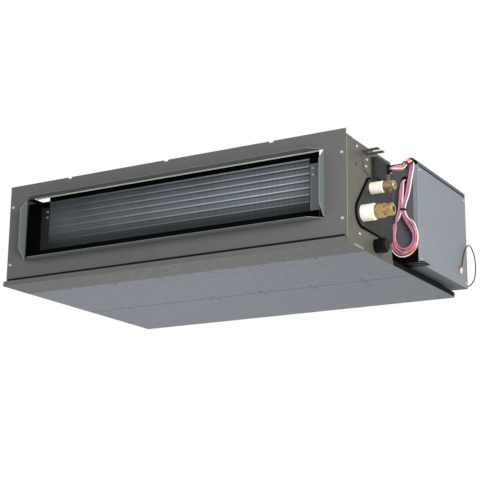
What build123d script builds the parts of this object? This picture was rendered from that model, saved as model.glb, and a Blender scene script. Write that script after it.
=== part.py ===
from build123d import *
from math import asin, cos, exp, log, radians, sin, tan
import os

# Ducted air conditioner for a ceiling void, as it comes apart on a bench.
# A folded sheet casing holds a leaning fin and tube coil over a drain pan, and behind
# a partition two centrifugal wheels on one motor shaft, each in a spiral housing.
# X runs to the right as seen from the air outlet, Y runs to the rear and Z runs up.
# The origin is the middle of the flat underside. All sizes are in millimetres.

# Casing
casing_width = 950.0
casing_depth = 635.0
casing_height = 250.0
sheet = 1.2
bend_radius = 2.0
seat_gap = 0.3
run_gap = 1.0

# Air outlet flange with four flaps folded forward
flange_bottom = 14.0
flange_rise = 12.0
outlet_margin = 55.0
outlet_bottom = 63.5
outlet_drop = 29.0
flap_depth = 26.0
flap_chamfer = 28.0
flap_relief = 1.5
notch_spread = 287.0
notch_width = 11.0
notch_depth = 3.5
relief_hole_radius = 2.6
relief_hole_from_flange = 7.0

# Front rails, bottom panels and the cross rail under their seam
lip_reach = 11.0
lip_height = 12.0
bottom_strip_depth = 88.0
seam_from_front = 353.0
seam_width = 1.0
upstand_height = 40.0
top_rail_depth = 30.0
top_rail_drop = 22.0
side_flange = 20.0
seat_flange = 14.0
skirt_height = 12.0
cross_rail_width = 46.0
cross_rail_height = 14.0

# Top panel
top_panel_from_front = 130.0
top_rib_count = 4
top_rib_pitch = 190.0
top_rib_width = 14.0
top_rib_height = 3.0
top_rib_slope = 20.0
top_rib_length = 420.0

# Recess in the right side for the control box
recess_from_front = 242.0
recess_depth = 33.0

# Pipes through the right side
gas_from_front = 75.0
gas_height = 84.0
gas_radius = 7.94
liquid_from_front = 122.0
liquid_height = 154.0
liquid_radius = 4.76
pipe_wall = 1.0
gas_sleeve_radius = 19.0
liquid_sleeve_radius = 13.5
sleeve_reach = 36.0
gas_union_length = 42.0
liquid_union_length = 26.0
gas_hex = 29.0
liquid_hex = 22.0
cover_corner_radius = 12.0
cover_right = 226.0
cover_low = 62.0
cover_high = 160.0
gasket_thickness = 3.0
gasket_margin = 4.0
gas_lobe_radius = 30.0
liquid_lobe_radius = 22.0

# Service cover and cable grommet above the pipes
service_from_front = 138.0
service_length = 58.0
service_bottom = 184.0
service_height = 50.0
service_reach = 12.0
grommet_from_front = 219.0
grommet_height = 228.0
grommet_hole_radius = 9.0
grommet_rim_radius = 13.0
grommet_bore_radius = 6.5

# Drain
drain_from_front = 150.0
drain_height = 26.0
drain_radius = 16.0
drain_bore_radius = 12.0
drain_reach = 26.0
plug_length = 12.0
pan_inset = 9.0
pan_front = 36.0
pan_back = 236.0
pan_height = 58.0
pan_wall = 6.0
pan_floor = 8.0
pan_rib_top = 40.0
pan_rib_width = 10.0

# Coil, leaning back over the pan
coil_left_inset = 55.0
coil_right_inset = 95.0
coil_rows = 2
tubes_per_row = 8
tube_pitch = 21.0
row_pitch = 18.0
fin_depth = 36.0
tube_radius = 3.5
tube_clearance = 0.2
tube_sides = 8
coil_lean = 23.0
coil_middle_from_front = 110.5
coil_middle_height = 127.9
end_plate_front = 58.0
end_flange = 24.0
end_plate_margin = 3.0
tube_overhang = 5.0
header_radius = 8.0
header_offset = 38.0
header_overhang = 7.0
gas_bend = 20.0
liquid_bend = 14.0
distributor_radius = 8.0
distributor_length = 14.0
capillary_radius = 1.5
capillary_bend = 5.0

# Foam round the outlet
foam_bar_height = 17.0
foam_bar_drop = 8.0
foam_side_thickness = 10.0
foam_side_start = 6.0
foam_side_depth = 44.0
sill_height = 12.0
sill_depth = 8.0

# Partition between coil and fans
partition_from_front = 258.0

# Wheels, spiral housings and motor
axis_from_front = 392.0
axis_height = 112.0
motor_middle = -16.0
wheel_offset = 232.0
wheel_radius = 74.0
blade_depth = 14.0
wheel_width = 184.0
blade_count = 24
blade_thickness = 1.4
blade_bow = 2.5
blade_lead = 7.5
rim_width = 4.0
rim_inward = 6.0
rim_outward = 1.0
hub_radius = 14.0
hub_length = 30.0
web_thickness = 2.0
shaft_radius = 6.0
shaft_fit = 0.15
housing_wall = 2.5
housing_side_gap = 8.0
tongue_gap = 7.0
tongue_angle = 25.0
crown_gap = 36.0
spiral_runs = 24
inlet_gap = 2.0
inlet_lip = 7.0
outlet_collar = 8.0
motor_radius = 58.0
motor_length = 84.0
motor_dome = 12.0
boss_radius = 20.0
boss_length = 12.0
ring_radius = 27.0
bracket_thickness = 2.5
bracket_foot = 30.0
strap_width = 10.0

# Rear inlet and its sliding filter
inlet_bottom = 34.0
inlet_top = 216.0
inlet_inset = 62.0
collar_depth = 18.0
filter_thickness = 8.0
filter_clearance = 0.6
filter_bar = 10.0
filter_mesh = 0.8
filter_bays = 8
filter_pull = 14.0
rail_lip = 9.0

# Hanger brackets
hanger_from_front = 92.0
hanger_drop = 18.0
hanger_thickness = 2.0
hanger_reach = 43.0
hanger_width = 38.0
hanger_slot_width = 12.0
hanger_slot_length = 28.0
shield_drop = 50.0
rear_hanger_inset = 30.0

# Control box on the right side
box_from_front = 320.0
box_bottom = 19.0
box_rise = 22.0
box_reach = 35.0
box_sheet = 1.0
tab_size = 20.0
lead_from_right = 22.0
lead_height = 27.0
lead_hole_radius = 4.5
cover_lip = 12.0
rim_height = 8.0
cover_gap = 0.8
cable_hole_height = 228.0
cable_hole_from_left = 36.0
cable_hole_radius = 8.0
grommet_lip = 3.0
grommet_sides = 10
board_standoff = 7.0
board_thickness = 1.6
lower_bracket_from_front = 322.0
lower_bracket_reach = 18.0
lower_bracket_width = 46.0

# Cables outside the box
trunk_radius = 6.0
loop_radius = 3.3
tie_width = 4.0
tie_thickness = 1.4
tie_slack = 0.8
tie_lock = 4.5
tie_sides = 12
clip_width = 10.0
tether_radius = 1.5

os.makedirs("parts", exist_ok=True)

half_width = casing_width / 2
front = -casing_depth / 2
rear = casing_depth / 2
side = half_width - sheet
top = casing_height - sheet
back = rear - sheet
recess_side = half_width - recess_depth
flange_top = casing_height + flange_rise
outlet_width = casing_width - 2 * outlet_margin
outlet_top = casing_height - outlet_drop
pan_left = half_width - pan_inset
coil_left = coil_left_inset - half_width
coil_right = half_width - coil_right_inset
foam_bar_bottom = outlet_top - foam_bar_drop
wheel_inner_radius = wheel_radius - blade_depth
tongue_radius = wheel_radius + tongue_gap
crown_radius = wheel_radius + crown_gap
inlet_radius = wheel_inner_radius - inlet_gap
hanger_height = casing_height - hanger_drop
box_top = casing_height + box_rise
box_right = half_width + box_reach
outlet_middle = (outlet_top + outlet_bottom) / 2
outlet_height = outlet_top - outlet_bottom


def deep(distance):
    """Y of a place at this distance behind the outlet flange."""
    return front + distance


def folded(points, thickness=sheet, side=Side.LEFT, radius=bend_radius):
    """Outline of a sheet bent along these points, with its bends rounded."""
    with BuildSketch() as outline:
        with BuildLine():
            FilletPolyline(*points, radius=radius)
            offset(amount=thickness, side=side)
        make_face()
    return outline.sketch


def axial(y, z):
    """Plane through an axis along X: first coordinate along it, second away from it."""
    return Plane(origin=(0, y, z), x_dir=(1, 0, 0), z_dir=(0, -1, 0))


def along_x(y, z):
    """Axis of a round piece that lies along X."""
    return Axis((0, y, z), (1, 0, 0))


def turned(y, z, profile):
    """Round piece along X, from its half profile of places and radii."""
    with BuildPart(mode=Mode.PRIVATE) as piece:
        with BuildSketch(axial(y, z)):
            with BuildLine():
                Polyline(*profile, close=True)
            make_face()
        revolve(axis=along_x(y, z))
    return piece.part


def easy_radii(points):
    """Radius of each bend of a route, as large as the runs beside it allow."""
    radii = []
    for before, corner, after in zip(points, points[1:], points[2:]):
        coming = Vector(*corner) - Vector(*before)
        going = Vector(*after) - Vector(*corner)
        half_turn = radians(coming.get_angle(going) / 2)
        radii.append(0.45 * min(coming.length, going.length) / tan(half_turn))
    return radii


def tube(points, radius, radii=None, sides=10):
    """Tube along straight runs joined by tangent bends, drawn with a few flat sides."""
    with BuildPart(mode=Mode.PRIVATE) as piece:
        with BuildLine() as route:
            FilletPolyline(*points, radius=radii or easy_radii(points))
        with BuildSketch(Plane(origin=route.line @ 0, z_dir=route.line % 0)):
            RegularPolygon(radius, sides)
        sweep(path=route.line)
    return piece.part


rear_hanger_places = {
    "left": rear_hanger_inset - half_width,
    "right": recess_side - rear_hanger_inset,
}

# Outlet flange: a plate with the air opening, whose four flaps fold forward
with BuildPart() as outlet_flange:
    with BuildSketch(Plane.XZ.offset(-front)):
        with Locations((0, (flange_top + flange_bottom) / 2)):
            Rectangle(casing_width, flange_top - flange_bottom)
        with Locations((0, outlet_middle)):
            Rectangle(outlet_width, outlet_height, mode=Mode.SUBTRACT)
        with Locations(*[(x, flange_top) for x in (-notch_spread, 0, notch_spread)]):
            Rectangle(notch_width, 2 * notch_depth, mode=Mode.SUBTRACT)
    extrude(amount=-sheet)
    for edge, out in ((-outlet_width / 2, -sheet), (outlet_width / 2, sheet)):
        low = outlet_bottom + flap_relief
        high = outlet_top - flap_relief
        with BuildSketch(Plane.YZ.offset(edge)):
            with BuildLine():
                Polyline(
                    (front, low),
                    (front, high),
                    (front - flap_depth, high - flap_chamfer),
                    (front - flap_depth, low + flap_chamfer),
                    close=True,
                )
            make_face()
        extrude(amount=out)
    for edge, out in ((outlet_bottom, -sheet), (outlet_top, sheet)):
        reach = outlet_width / 2 - flap_relief
        with BuildSketch(Plane.XY.offset(edge)):
            with BuildLine():
                Polyline(
                    (-reach, front),
                    (reach, front),
                    (reach - flap_chamfer, front - flap_depth),
                    (flap_chamfer - reach, front - flap_depth),
                    close=True,
                )
            make_face()
        extrude(amount=out)
    with BuildSketch(Plane.XY.offset(outlet_top)):
        with Locations(*[(x, front - relief_hole_from_flange) for x in (-notch_spread, 0, notch_spread)]):
            RegularPolygon(relief_hole_radius, 8)
    extrude(amount=2 * sheet, both=True, mode=Mode.SUBTRACT)
outlet_flange.part.label = "outlet_flange"
export_step(outlet_flange.part, "parts/outlet_flange.step")

# Front rail under the flange, with a hemmed lip that sticks out below the opening
with BuildPart() as bottom_front_rail:
    with BuildSketch(Plane.YZ.offset(-half_width)):
        add(folded([
            (deep(bottom_strip_depth), 0),
            (deep(-lip_reach), 0),
            (deep(-lip_reach), lip_height),
        ], side=Side.RIGHT))
        with Locations((deep(-lip_reach) + 1.5 * sheet, (lip_height + 2 * sheet) / 2)):
            Rectangle(sheet, lip_height - 2 * sheet)
    extrude(amount=casing_width)
    with BuildSketch(Plane.YZ.offset(side_flange + 2 * sheet - half_width)):
        with Locations((deep(1.5 * sheet), (upstand_height + sheet) / 2)):
            Rectangle(sheet, upstand_height)
    extrude(amount=casing_width - 2 * side_flange - 4 * sheet)
bottom_front_rail.part.label = "bottom_front_rail"
export_step(bottom_front_rail.part, "parts/bottom_front_rail.step")

# Angle behind the top of the flange
with BuildPart() as top_front_rail:
    with BuildSketch(Plane.YZ.offset(-half_width)):
        with Locations((deep(sheet + top_rail_depth / 2), casing_height - sheet / 2)):
            Rectangle(top_rail_depth, sheet)
    extrude(amount=casing_width)
    with BuildSketch(Plane.YZ.offset(side_flange + 2 * sheet - half_width)):
        with Locations((deep(1.5 * sheet), casing_height - top_rail_drop / 2)):
            Rectangle(sheet, top_rail_drop)
    extrude(amount=casing_width - 2 * side_flange - 4 * sheet)
top_front_rail.part.label = "top_front_rail"
export_step(top_front_rail.part, "parts/top_front_rail.step")

# Left side panel, folded round the front and rear, with a slot where the filter comes out
filter_y = back - sheet - filter_clearance - filter_thickness / 2
with BuildPart() as left_side_panel:
    with BuildSketch(Plane.XY.offset(sheet)):
        add(folded([
            (side_flange - half_width, deep(sheet)),
            (-half_width, deep(sheet)),
            (-half_width, back),
            (seat_flange - half_width, back),
        ], side=Side.RIGHT))
    extrude(amount=top - sheet)
    for level, rise in ((sheet, sheet), (top, -sheet)):
        with BuildSketch(Plane.XY.offset(level)):
            with Locations((-side + seat_flange / 2, 0)):
                Rectangle(seat_flange, casing_depth - 8 * sheet)
        extrude(amount=rise)
    with Locations((-half_width, filter_y, (inlet_bottom + inlet_top) / 2)):
        Box(4 * sheet, filter_thickness + 2 * filter_clearance,
            inlet_top - inlet_bottom + 2 * filter_bar + 2 * filter_clearance, mode=Mode.SUBTRACT)
left_side_panel.part.label = "left_side_panel"
export_step(left_side_panel.part, "parts/left_side_panel.step")

# Outline round both pipes that the gasket and the cover plate share
def pipe_outline(margin):
    """Rounded plate outline that wraps both pipes, grown by a margin."""
    with BuildSketch() as outline:
        with Locations((deep(gas_from_front), gas_height)):
            Circle(gas_lobe_radius + margin)
        with Locations((deep(liquid_from_front), liquid_height)):
            Circle(liquid_lobe_radius + margin)
        with Locations((deep(cover_right), cover_low), (deep(cover_right), cover_high)):
            Circle(cover_corner_radius)
        make_hull()
    return outline.sketch


# Right side panel, stepped in behind the pipes to make room for the control box
with BuildPart() as right_side_panel:
    with BuildSketch(Plane.XY.offset(sheet)):
        add(folded([
            (half_width - side_flange, deep(sheet)),
            (half_width, deep(sheet)),
            (half_width, deep(recess_from_front)),
            (recess_side, deep(recess_from_front)),
            (recess_side, back),
            (recess_side - seat_flange, back),
        ]))
    extrude(amount=top - sheet)
    for level, rise in ((sheet, sheet), (top, -sheet)):
        with BuildSketch(Plane.XY.offset(level)):
            with Locations((side - seat_flange / 2, deep(recess_from_front / 2 + sheet))):
                Rectangle(seat_flange, recess_from_front - 6 * sheet)
            with Locations((recess_side - sheet - seat_flange / 2, (deep(recess_from_front) + rear) / 2)):
                Rectangle(seat_flange, casing_depth - recess_from_front - 8 * sheet)
        extrude(amount=rise)
    with BuildSketch(Plane.YZ.offset(side - sheet)):
        with Locations((deep(gas_from_front), gas_height)):
            Circle(gas_sleeve_radius + run_gap)
        with Locations((deep(liquid_from_front), liquid_height)):
            Circle(liquid_sleeve_radius + run_gap)
        with Locations((deep(grommet_from_front), grommet_height)):
            Circle(grommet_hole_radius + seat_gap)
        with Locations((deep(drain_from_front), drain_height)):
            Circle(drain_radius + seat_gap)
        with Locations((deep(49), 192.5)):
            SlotOverall(11, 2.4, rotation=90)
    extrude(amount=3 * sheet, mode=Mode.SUBTRACT)
right_side_panel.part.label = "right_side_panel"
export_step(right_side_panel.part, "parts/right_side_panel.step")

# Top panel with pressed ribs, cut back along the recess
with BuildPart() as top_panel:
    with BuildSketch(Plane.XY.offset(top)):
        with BuildLine():
            Polyline(
                (-half_width, deep(top_panel_from_front)),
                (half_width, deep(top_panel_from_front)),
                (half_width, deep(recess_from_front)),
                (recess_side, deep(recess_from_front)),
                (recess_side, rear),
                (-half_width, rear),
                close=True,
            )
        make_face()
    extrude(amount=sheet)
    with BuildSketch(Plane.XY.offset(top)):
        with Locations((motor_middle, (deep(top_panel_from_front) + rear) / 2)):
            with GridLocations(top_rib_pitch, 0, top_rib_count, 1):
                Rectangle(top_rib_width, top_rib_length)
    extrude(amount=sheet + top_rib_height, taper=top_rib_slope)
    with BuildSketch(Plane.XY.offset(top)):
        with Locations((motor_middle, (deep(top_panel_from_front) + rear) / 2)):
            with GridLocations(top_rib_pitch, 0, top_rib_count, 1):
                Rectangle(top_rib_width - 2 * sheet, top_rib_length - 2 * sheet)
    extrude(amount=top_rib_height, taper=top_rib_slope, mode=Mode.SUBTRACT)
top_panel.part.label = "top_panel"
export_step(top_panel.part, "parts/top_panel.step")

# Bottom panels with a turned up skirt along the recess, meeting at a seam
recess_skirt_start = recess_from_front + run_gap
for name, start, end in (
    ("bottom_front_panel", bottom_strip_depth + seat_gap, seam_from_front - seam_width / 2),
    ("bottom_rear_panel", seam_from_front + seam_width / 2, casing_depth),
):
    skirt_start = max(start, recess_skirt_start)
    with BuildPart() as bottom_panel:
        with BuildSketch():
            with Locations((0, deep((start + end) / 2))):
                Rectangle(casing_width, end - start)
        extrude(amount=sheet)
        with BuildSketch():
            with Locations((half_width - sheet / 2, deep((skirt_start + end) / 2))):
                Rectangle(sheet, end - skirt_start)
        extrude(amount=skirt_height)
    bottom_panel.part.label = name
    export_step(bottom_panel.part, f"parts/{name}.step")

# Hat section across the casing that the seam is screwed to
with BuildPart() as cross_rail:
    with BuildSketch(Plane.YZ.offset(-half_width + seat_flange + 3 * sheet)):
        flat = cross_rail_width / 2
        web = flat - 16
        add(folded([
            (deep(seam_from_front - flat), sheet),
            (deep(seam_from_front - web), sheet),
            (deep(seam_from_front - web), cross_rail_height),
            (deep(seam_from_front + web), cross_rail_height),
            (deep(seam_from_front + web), sheet),
            (deep(seam_from_front + flat), sheet),
        ], radius=bend_radius))
    extrude(amount=half_width + recess_side - 2 * seat_flange - 6 * sheet)
cross_rail.part.label = "cross_rail"
export_step(cross_rail.part, "parts/cross_rail.step")

# Rear frame: inlet opening with a collar, and rails that hold the filter
inlet_left = inlet_inset - half_width
inlet_right = recess_side - inlet_inset
inlet_middle = (inlet_left + inlet_right) / 2
inlet_centre_z = (inlet_bottom + inlet_top) / 2
filter_half_height = (inlet_top - inlet_bottom) / 2 + filter_bar
with BuildPart() as rear_inlet_frame:
    with BuildSketch(Plane.YZ.offset(seat_flange + 3 * sheet - half_width)):
        add(folded([(rear - 20, sheet), (rear, sheet), (rear, top), (rear - 20, top)]))
    extrude(amount=half_width + recess_side - 2 * seat_flange - 6 * sheet)
    with BuildSketch(Plane.XZ.offset(-rear)):
        with Locations(((recess_side - half_width) / 2, casing_height / 2)):
            Rectangle(half_width + recess_side, top - sheet)
    extrude(amount=sheet)
    with BuildSketch(Plane.XZ.offset(-rear)):
        with Locations((inlet_middle, inlet_centre_z)):
            Rectangle(inlet_right - inlet_left, inlet_top - inlet_bottom)
            offset(amount=sheet, kind=Kind.INTERSECTION)
    extrude(amount=-collar_depth)
    with BuildSketch(Plane.XZ.offset(-rear)):
        with Locations((inlet_middle, inlet_centre_z)):
            Rectangle(inlet_right - inlet_left, inlet_top - inlet_bottom)
    extrude(amount=2 * collar_depth, both=True, mode=Mode.SUBTRACT)
    rail_top = inlet_centre_z + filter_half_height + filter_clearance
    rail_bottom = inlet_centre_z - filter_half_height - filter_clearance
    rail_front = filter_y - filter_thickness / 2 - filter_clearance
    with BuildSketch(Plane.YZ.offset(seat_flange + 3 * sheet - half_width)):
        add(folded([(back, rail_top + sheet), (rail_front - sheet, rail_top + sheet),
                    (rail_front - sheet, rail_top - rail_lip)]))
        add(folded([(back, rail_bottom - sheet), (rail_front - sheet, rail_bottom - sheet),
                    (rail_front - sheet, rail_bottom + rail_lip)], side=Side.RIGHT))
    extrude(amount=half_width + recess_side - 2 * seat_flange - 6 * sheet)
rear_inlet_frame.part.label = "rear_inlet_frame"
export_step(rear_inlet_frame.part, "parts/rear_inlet_frame.step")

# Air filter: a ribbed frame round a thin mesh, drawn out to the left by its pull
filter_left = -half_width - filter_pull
filter_right = recess_side - seat_flange - 4 * sheet
with BuildPart() as air_filter:
    with BuildSketch(Plane.XZ.offset(-filter_y)):
        with Locations(((filter_left + filter_right) / 2, inlet_centre_z)):
            Rectangle(filter_right - filter_left, 2 * filter_half_height)
    extrude(amount=filter_thickness / 2, both=True)
    bay = (filter_right - filter_left - 2 * filter_bar - filter_pull) / filter_bays
    with BuildSketch(Plane.XZ.offset(-filter_y)):
        with Locations(((filter_left + filter_pull + filter_right) / 2, inlet_centre_z)):
            with GridLocations(bay, filter_half_height - filter_bar, filter_bays, 2):
                Rectangle(bay - 4, filter_half_height - filter_bar - 4)
    extrude(amount=filter_thickness, both=True, mode=Mode.SUBTRACT)
    with BuildSketch(Plane.XZ.offset(-filter_y)):
        with Locations(((filter_left + filter_pull + filter_right) / 2, inlet_centre_z)):
            Rectangle(filter_bays * bay + filter_bar, 2 * filter_half_height - filter_bar)
    extrude(amount=filter_mesh / 2, both=True)
air_filter.part.label = "air_filter"
export_step(air_filter.part, "parts/air_filter.step")

# Hanger brackets: a shield plate on the side and an open slot in the tab that sticks out
for side_name, end in (("left", -1), ("right", 1)):
    wall = end * half_width
    with BuildPart() as hanger:
        with BuildSketch(Plane.YZ.offset(wall)):
            with BuildLine():
                Polyline(
                    (deep(hanger_from_front - hanger_width / 2), hanger_height),
                    (deep(hanger_from_front + hanger_width / 2), hanger_height),
                    (deep(hanger_from_front + hanger_width / 2 + 6), hanger_height - shield_drop * 0.8),
                    (deep(hanger_from_front + 24), hanger_height - shield_drop),
                    (deep(hanger_from_front), hanger_height - shield_drop + 8),
                    close=True,
                )
            make_face()
        extrude(amount=end * hanger_thickness)
        with BuildSketch(Plane.XY.offset(hanger_height - hanger_thickness)):
            with Locations((wall + end * hanger_reach / 2, deep(hanger_from_front))):
                Rectangle(hanger_reach, hanger_width)
            with Locations((wall + end * (hanger_reach - hanger_slot_length / 2), deep(hanger_from_front))):
                Rectangle(hanger_slot_length, hanger_slot_width, mode=Mode.SUBTRACT)
            with Locations((wall + end * (hanger_reach - hanger_slot_length), deep(hanger_from_front))):
                Circle(hanger_slot_width / 2, mode=Mode.SUBTRACT)
        extrude(amount=hanger_thickness)
    hanger.part.label = f"front_hanger_{side_name}"
    export_step(hanger.part, f"parts/front_hanger_{side_name}.step")

# Rear hangers: angles on the rear frame with the same open slot, pointing backwards
for side_name, x in rear_hanger_places.items():
    with BuildPart() as hanger:
        with BuildSketch(Plane.YZ.offset(x - hanger_width / 2)):
            add(folded([(rear, hanger_height - 14), (rear, hanger_height + 8),
                        (rear + hanger_reach, hanger_height + 8)],
                       thickness=hanger_thickness, side=Side.RIGHT))
        extrude(amount=hanger_width)
        with BuildSketch(Plane.XY.offset(hanger_height)):
            with Locations((x, rear + hanger_reach - hanger_slot_length / 2)):
                Rectangle(hanger_slot_width, hanger_slot_length)
            with Locations((x, rear + hanger_reach - hanger_slot_length)):
                Circle(hanger_slot_width / 2)
        extrude(amount=20, mode=Mode.SUBTRACT)
    hanger.part.label = f"rear_hanger_{side_name}"
    export_step(hanger.part, f"parts/rear_hanger_{side_name}.step")

# Foam gasket and cover plate round the pipes
for name, level, thickness, margin in (
    ("pipe_gasket", half_width, gasket_thickness, gasket_margin),
    ("pipe_cover_plate", half_width + gasket_thickness, sheet, 0.0),
):
    with BuildPart() as pipe_plate:
        with BuildSketch(Plane.YZ.offset(level)):
            add(pipe_outline(margin))
            with Locations((deep(gas_from_front), gas_height)):
                Circle(gas_sleeve_radius + seat_gap, mode=Mode.SUBTRACT)
            with Locations((deep(liquid_from_front), liquid_height)):
                Circle(liquid_sleeve_radius + seat_gap, mode=Mode.SUBTRACT)
        extrude(amount=thickness)
    pipe_plate.part.label = name
    export_step(pipe_plate.part, f"parts/{name}.step")

# Raised cover over the sensor leads, a shallow pressed pan with a rounded front edge
with BuildPart() as service_cover:
    with BuildSketch(Plane.XY.offset(service_bottom)):
        with BuildLine():
            FilletPolyline(
                (half_width, deep(service_from_front)),
                (half_width + service_reach, deep(service_from_front)),
                (half_width + service_reach, deep(service_from_front + service_length)),
                (half_width, deep(service_from_front + service_length)),
                radius=service_reach * 0.6,
            )
            offset(amount=sheet, side=Side.LEFT)
        make_face()
    extrude(amount=service_height)
    with BuildSketch(Plane.XY.offset(service_bottom)):
        with Locations((half_width + sheet / 2, deep(service_from_front - 4 + sheet))):
            Rectangle(sheet, 8)
    extrude(amount=service_height)
service_cover.part.label = "service_cover"
export_step(service_cover.part, "parts/service_cover.step")

# Rubber grommet that the cables leave the casing through
with BuildPart() as harness_grommet:
    with BuildSketch(axial(deep(grommet_from_front), grommet_height)):
        with BuildLine():
            Polyline(
                (side - 3, grommet_bore_radius),
                (side - 3, grommet_rim_radius),
                (side - seat_gap, grommet_rim_radius),
                (side - seat_gap, grommet_hole_radius),
                (half_width + seat_gap, grommet_hole_radius),
                (half_width + seat_gap, grommet_rim_radius),
                (half_width + 6, grommet_rim_radius - 2),
                (half_width + 10, grommet_bore_radius + 2),
                (half_width + 10, grommet_bore_radius),
                close=True,
            )
        make_face()
    revolve(axis=along_x(deep(grommet_from_front), grommet_height))
harness_grommet.part.label = "harness_grommet"
export_step(harness_grommet.part, "parts/harness_grommet.step")

# Foam lining: a pad on each side wall, a bar over the coil and a sill in front of it
with BuildPart() as outlet_foam:
    for wall in (-side, side - foam_side_thickness):
        with BuildSketch(Plane.YZ.offset(wall)):
            with Locations((deep(foam_side_start + foam_side_depth / 2), (casing_height + pan_height) / 2)):
                Rectangle(foam_side_depth, casing_height - pan_height - 12 * sheet)
        extrude(amount=foam_side_thickness)
    with BuildSketch(Plane.YZ.offset(coil_left)):
        with Locations((deep(end_plate_front + 36), foam_bar_bottom + foam_bar_height / 2)):
            Rectangle(68, foam_bar_height)
    extrude(amount=side - run_gap - coil_left)
    sill_half = side - foam_side_thickness - seat_gap
    with BuildSketch(Plane.YZ.offset(-sill_half)):
        with Locations((deep(pan_front + sill_depth / 2), pan_height + sill_height / 2)):
            Rectangle(sill_depth, sill_height)
    extrude(amount=2 * sill_half)
outlet_foam.part.label = "outlet_foam"
export_step(outlet_foam.part, "parts/outlet_foam.step")

# Coil frame of reference: along the slab, and across it towards the fans
lean = radians(coil_lean)
slab_length = tubes_per_row * tube_pitch
middle_y = deep(coil_middle_from_front)


def on_slab(along, across):
    """Y and Z of a point measured from the slab's middle."""
    return (
        middle_y + along * sin(lean) + across * cos(lean),
        coil_middle_height + along * cos(lean) - across * sin(lean),
    )


def tube_along(index):
    """Distance of a tube from the slab's middle, counted from the bottom."""
    return (index - (tubes_per_row - 1) / 2) * tube_pitch


row_across = [(row - (coil_rows - 1) / 2) * row_pitch for row in range(coil_rows)]
tube_places = [on_slab(tube_along(index), across) for across in row_across for index in range(tubes_per_row)]

# Fin pack, drilled for the tubes
with BuildPart() as coil_fins:
    with BuildSketch(Plane.YZ.offset(coil_left + sheet + seat_gap)):
        with Locations((middle_y, coil_middle_height)):
            Rectangle(fin_depth, slab_length, rotation=-coil_lean)
        with Locations(*tube_places):
            RegularPolygon(tube_radius + tube_clearance, tube_sides, mode=Mode.SUBTRACT)
    extrude(amount=coil_right - coil_left - 2 * sheet - 2 * seat_gap)
coil_fins.part.label = "coil_fins"
export_step(coil_fins.part, "parts/coil_fins.step")

# Copper hairpins through the fins, and return bends that join them on the right
with BuildPart() as coil_tubes:
    slab_normal = (0, cos(lean), -sin(lean))
    bend_corner = 0.3 * tube_pitch
    for across in row_across:
        for index in range(0, tubes_per_row, 2):
            y, z = on_slab(tube_along(index), across)
            turn = Plane(origin=(0, y, z), x_dir=(1, 0, 0), z_dir=slab_normal)
            tube_end = coil_right + tube_overhang
            bend_start = coil_left - tube_overhang
            with BuildLine(turn) as hairpin:
                Polyline(
                    (tube_end, 0),
                    (bend_start, 0),
                    (bend_start - bend_corner, bend_corner - tube_pitch / 2),
                    (bend_start - bend_corner, -bend_corner - tube_pitch / 2),
                    (bend_start, -tube_pitch),
                    (tube_end, -tube_pitch),
                )
            with BuildSketch(Plane(origin=hairpin.line @ 0, x_dir=(0, 1, 0), z_dir=hairpin.line % 0)):
                RegularPolygon(tube_radius, tube_sides)
            sweep(path=hairpin.line, transition=Transition.RIGHT)
        for index in range(1, tubes_per_row - 1, 2):
            y, z = on_slab(tube_along(index), across)
            turn = Plane(origin=(0, y, z), x_dir=(1, 0, 0), z_dir=slab_normal)
            with BuildLine(turn) as bend:
                Polyline(
                    (tube_end, 0),
                    (tube_end + bend_corner, bend_corner - tube_pitch / 2),
                    (tube_end + bend_corner, -bend_corner - tube_pitch / 2),
                    (tube_end, -tube_pitch),
                )
            with BuildSketch(Plane(origin=bend.line @ 0, x_dir=(0, 1, 0), z_dir=bend.line % 0)):
                RegularPolygon(tube_radius, tube_sides)
            sweep(path=bend.line, transition=Transition.RIGHT)
coil_tubes.part.label = "coil_tubes"
export_step(coil_tubes.part, "parts/coil_tubes.step")

# End plates that carry the tubes, each with a flange over the ends of the fins
for name, plate_x, out in (("coil_left_plate", coil_left, 1), ("coil_right_plate", coil_right, -1)):
    rear_top = on_slab(slab_length / 2 + end_plate_margin, fin_depth / 2 + end_plate_margin)
    rear_low = on_slab(-slab_length / 2, fin_depth / 2 + end_plate_margin)
    with BuildPart() as end_plate:
        with BuildSketch(Plane.YZ.offset(plate_x)):
            with BuildLine():
                Polyline(
                    (deep(end_plate_front), pan_rib_top),
                    (deep(end_plate_front), foam_bar_bottom),
                    (rear_top[0] - 22, foam_bar_bottom),
                    rear_top,
                    rear_low,
                    (rear_low[0], pan_rib_top),
                    close=True,
                )
            make_face()
            with Locations(*tube_places):
                RegularPolygon(tube_radius + tube_clearance, tube_sides, mode=Mode.SUBTRACT)
        extrude(amount=out * sheet)
        with BuildSketch(Plane.XY.offset(pan_rib_top)):
            with Locations((plate_x + out * end_flange / 2, deep(end_plate_front + sheet / 2))):
                Rectangle(end_flange, sheet)
        extrude(amount=foam_bar_bottom - pan_rib_top)
    end_plate.part.label = name
    export_step(end_plate.part, f"parts/{name}.step")

# Suction header at the foot of the coil, with the gas pipe that leaves it
header_x = coil_right + header_offset
leg_end = coil_right + tube_overhang
foot_y, foot_z = on_slab(tube_along(0), 0)
with BuildPart() as gas_pipe:
    header_half = row_pitch * (coil_rows - 1) / 2 + header_overhang
    with BuildSketch(Plane(origin=(header_x, foot_y, foot_z), z_dir=slab_normal)):
        Circle(header_radius)
    extrude(amount=header_half, both=True)
    for across in row_across:
        y, z = on_slab(tube_along(0), across)
        with BuildSketch(Plane(origin=(leg_end, y, z), z_dir=(1, 0, 0))):
            Circle(tube_radius)
        extrude(amount=header_x - leg_end)
    add(tube([
        (header_x, foot_y, foot_z),
        (header_x, deep(gas_from_front), gas_height),
        (half_width + sleeve_reach + 9, deep(gas_from_front), gas_height),
    ], gas_radius, [gas_bend]))
gas_pipe.part.label = "gas_pipe"
export_step(gas_pipe.part, "parts/gas_pipe.step")

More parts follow.
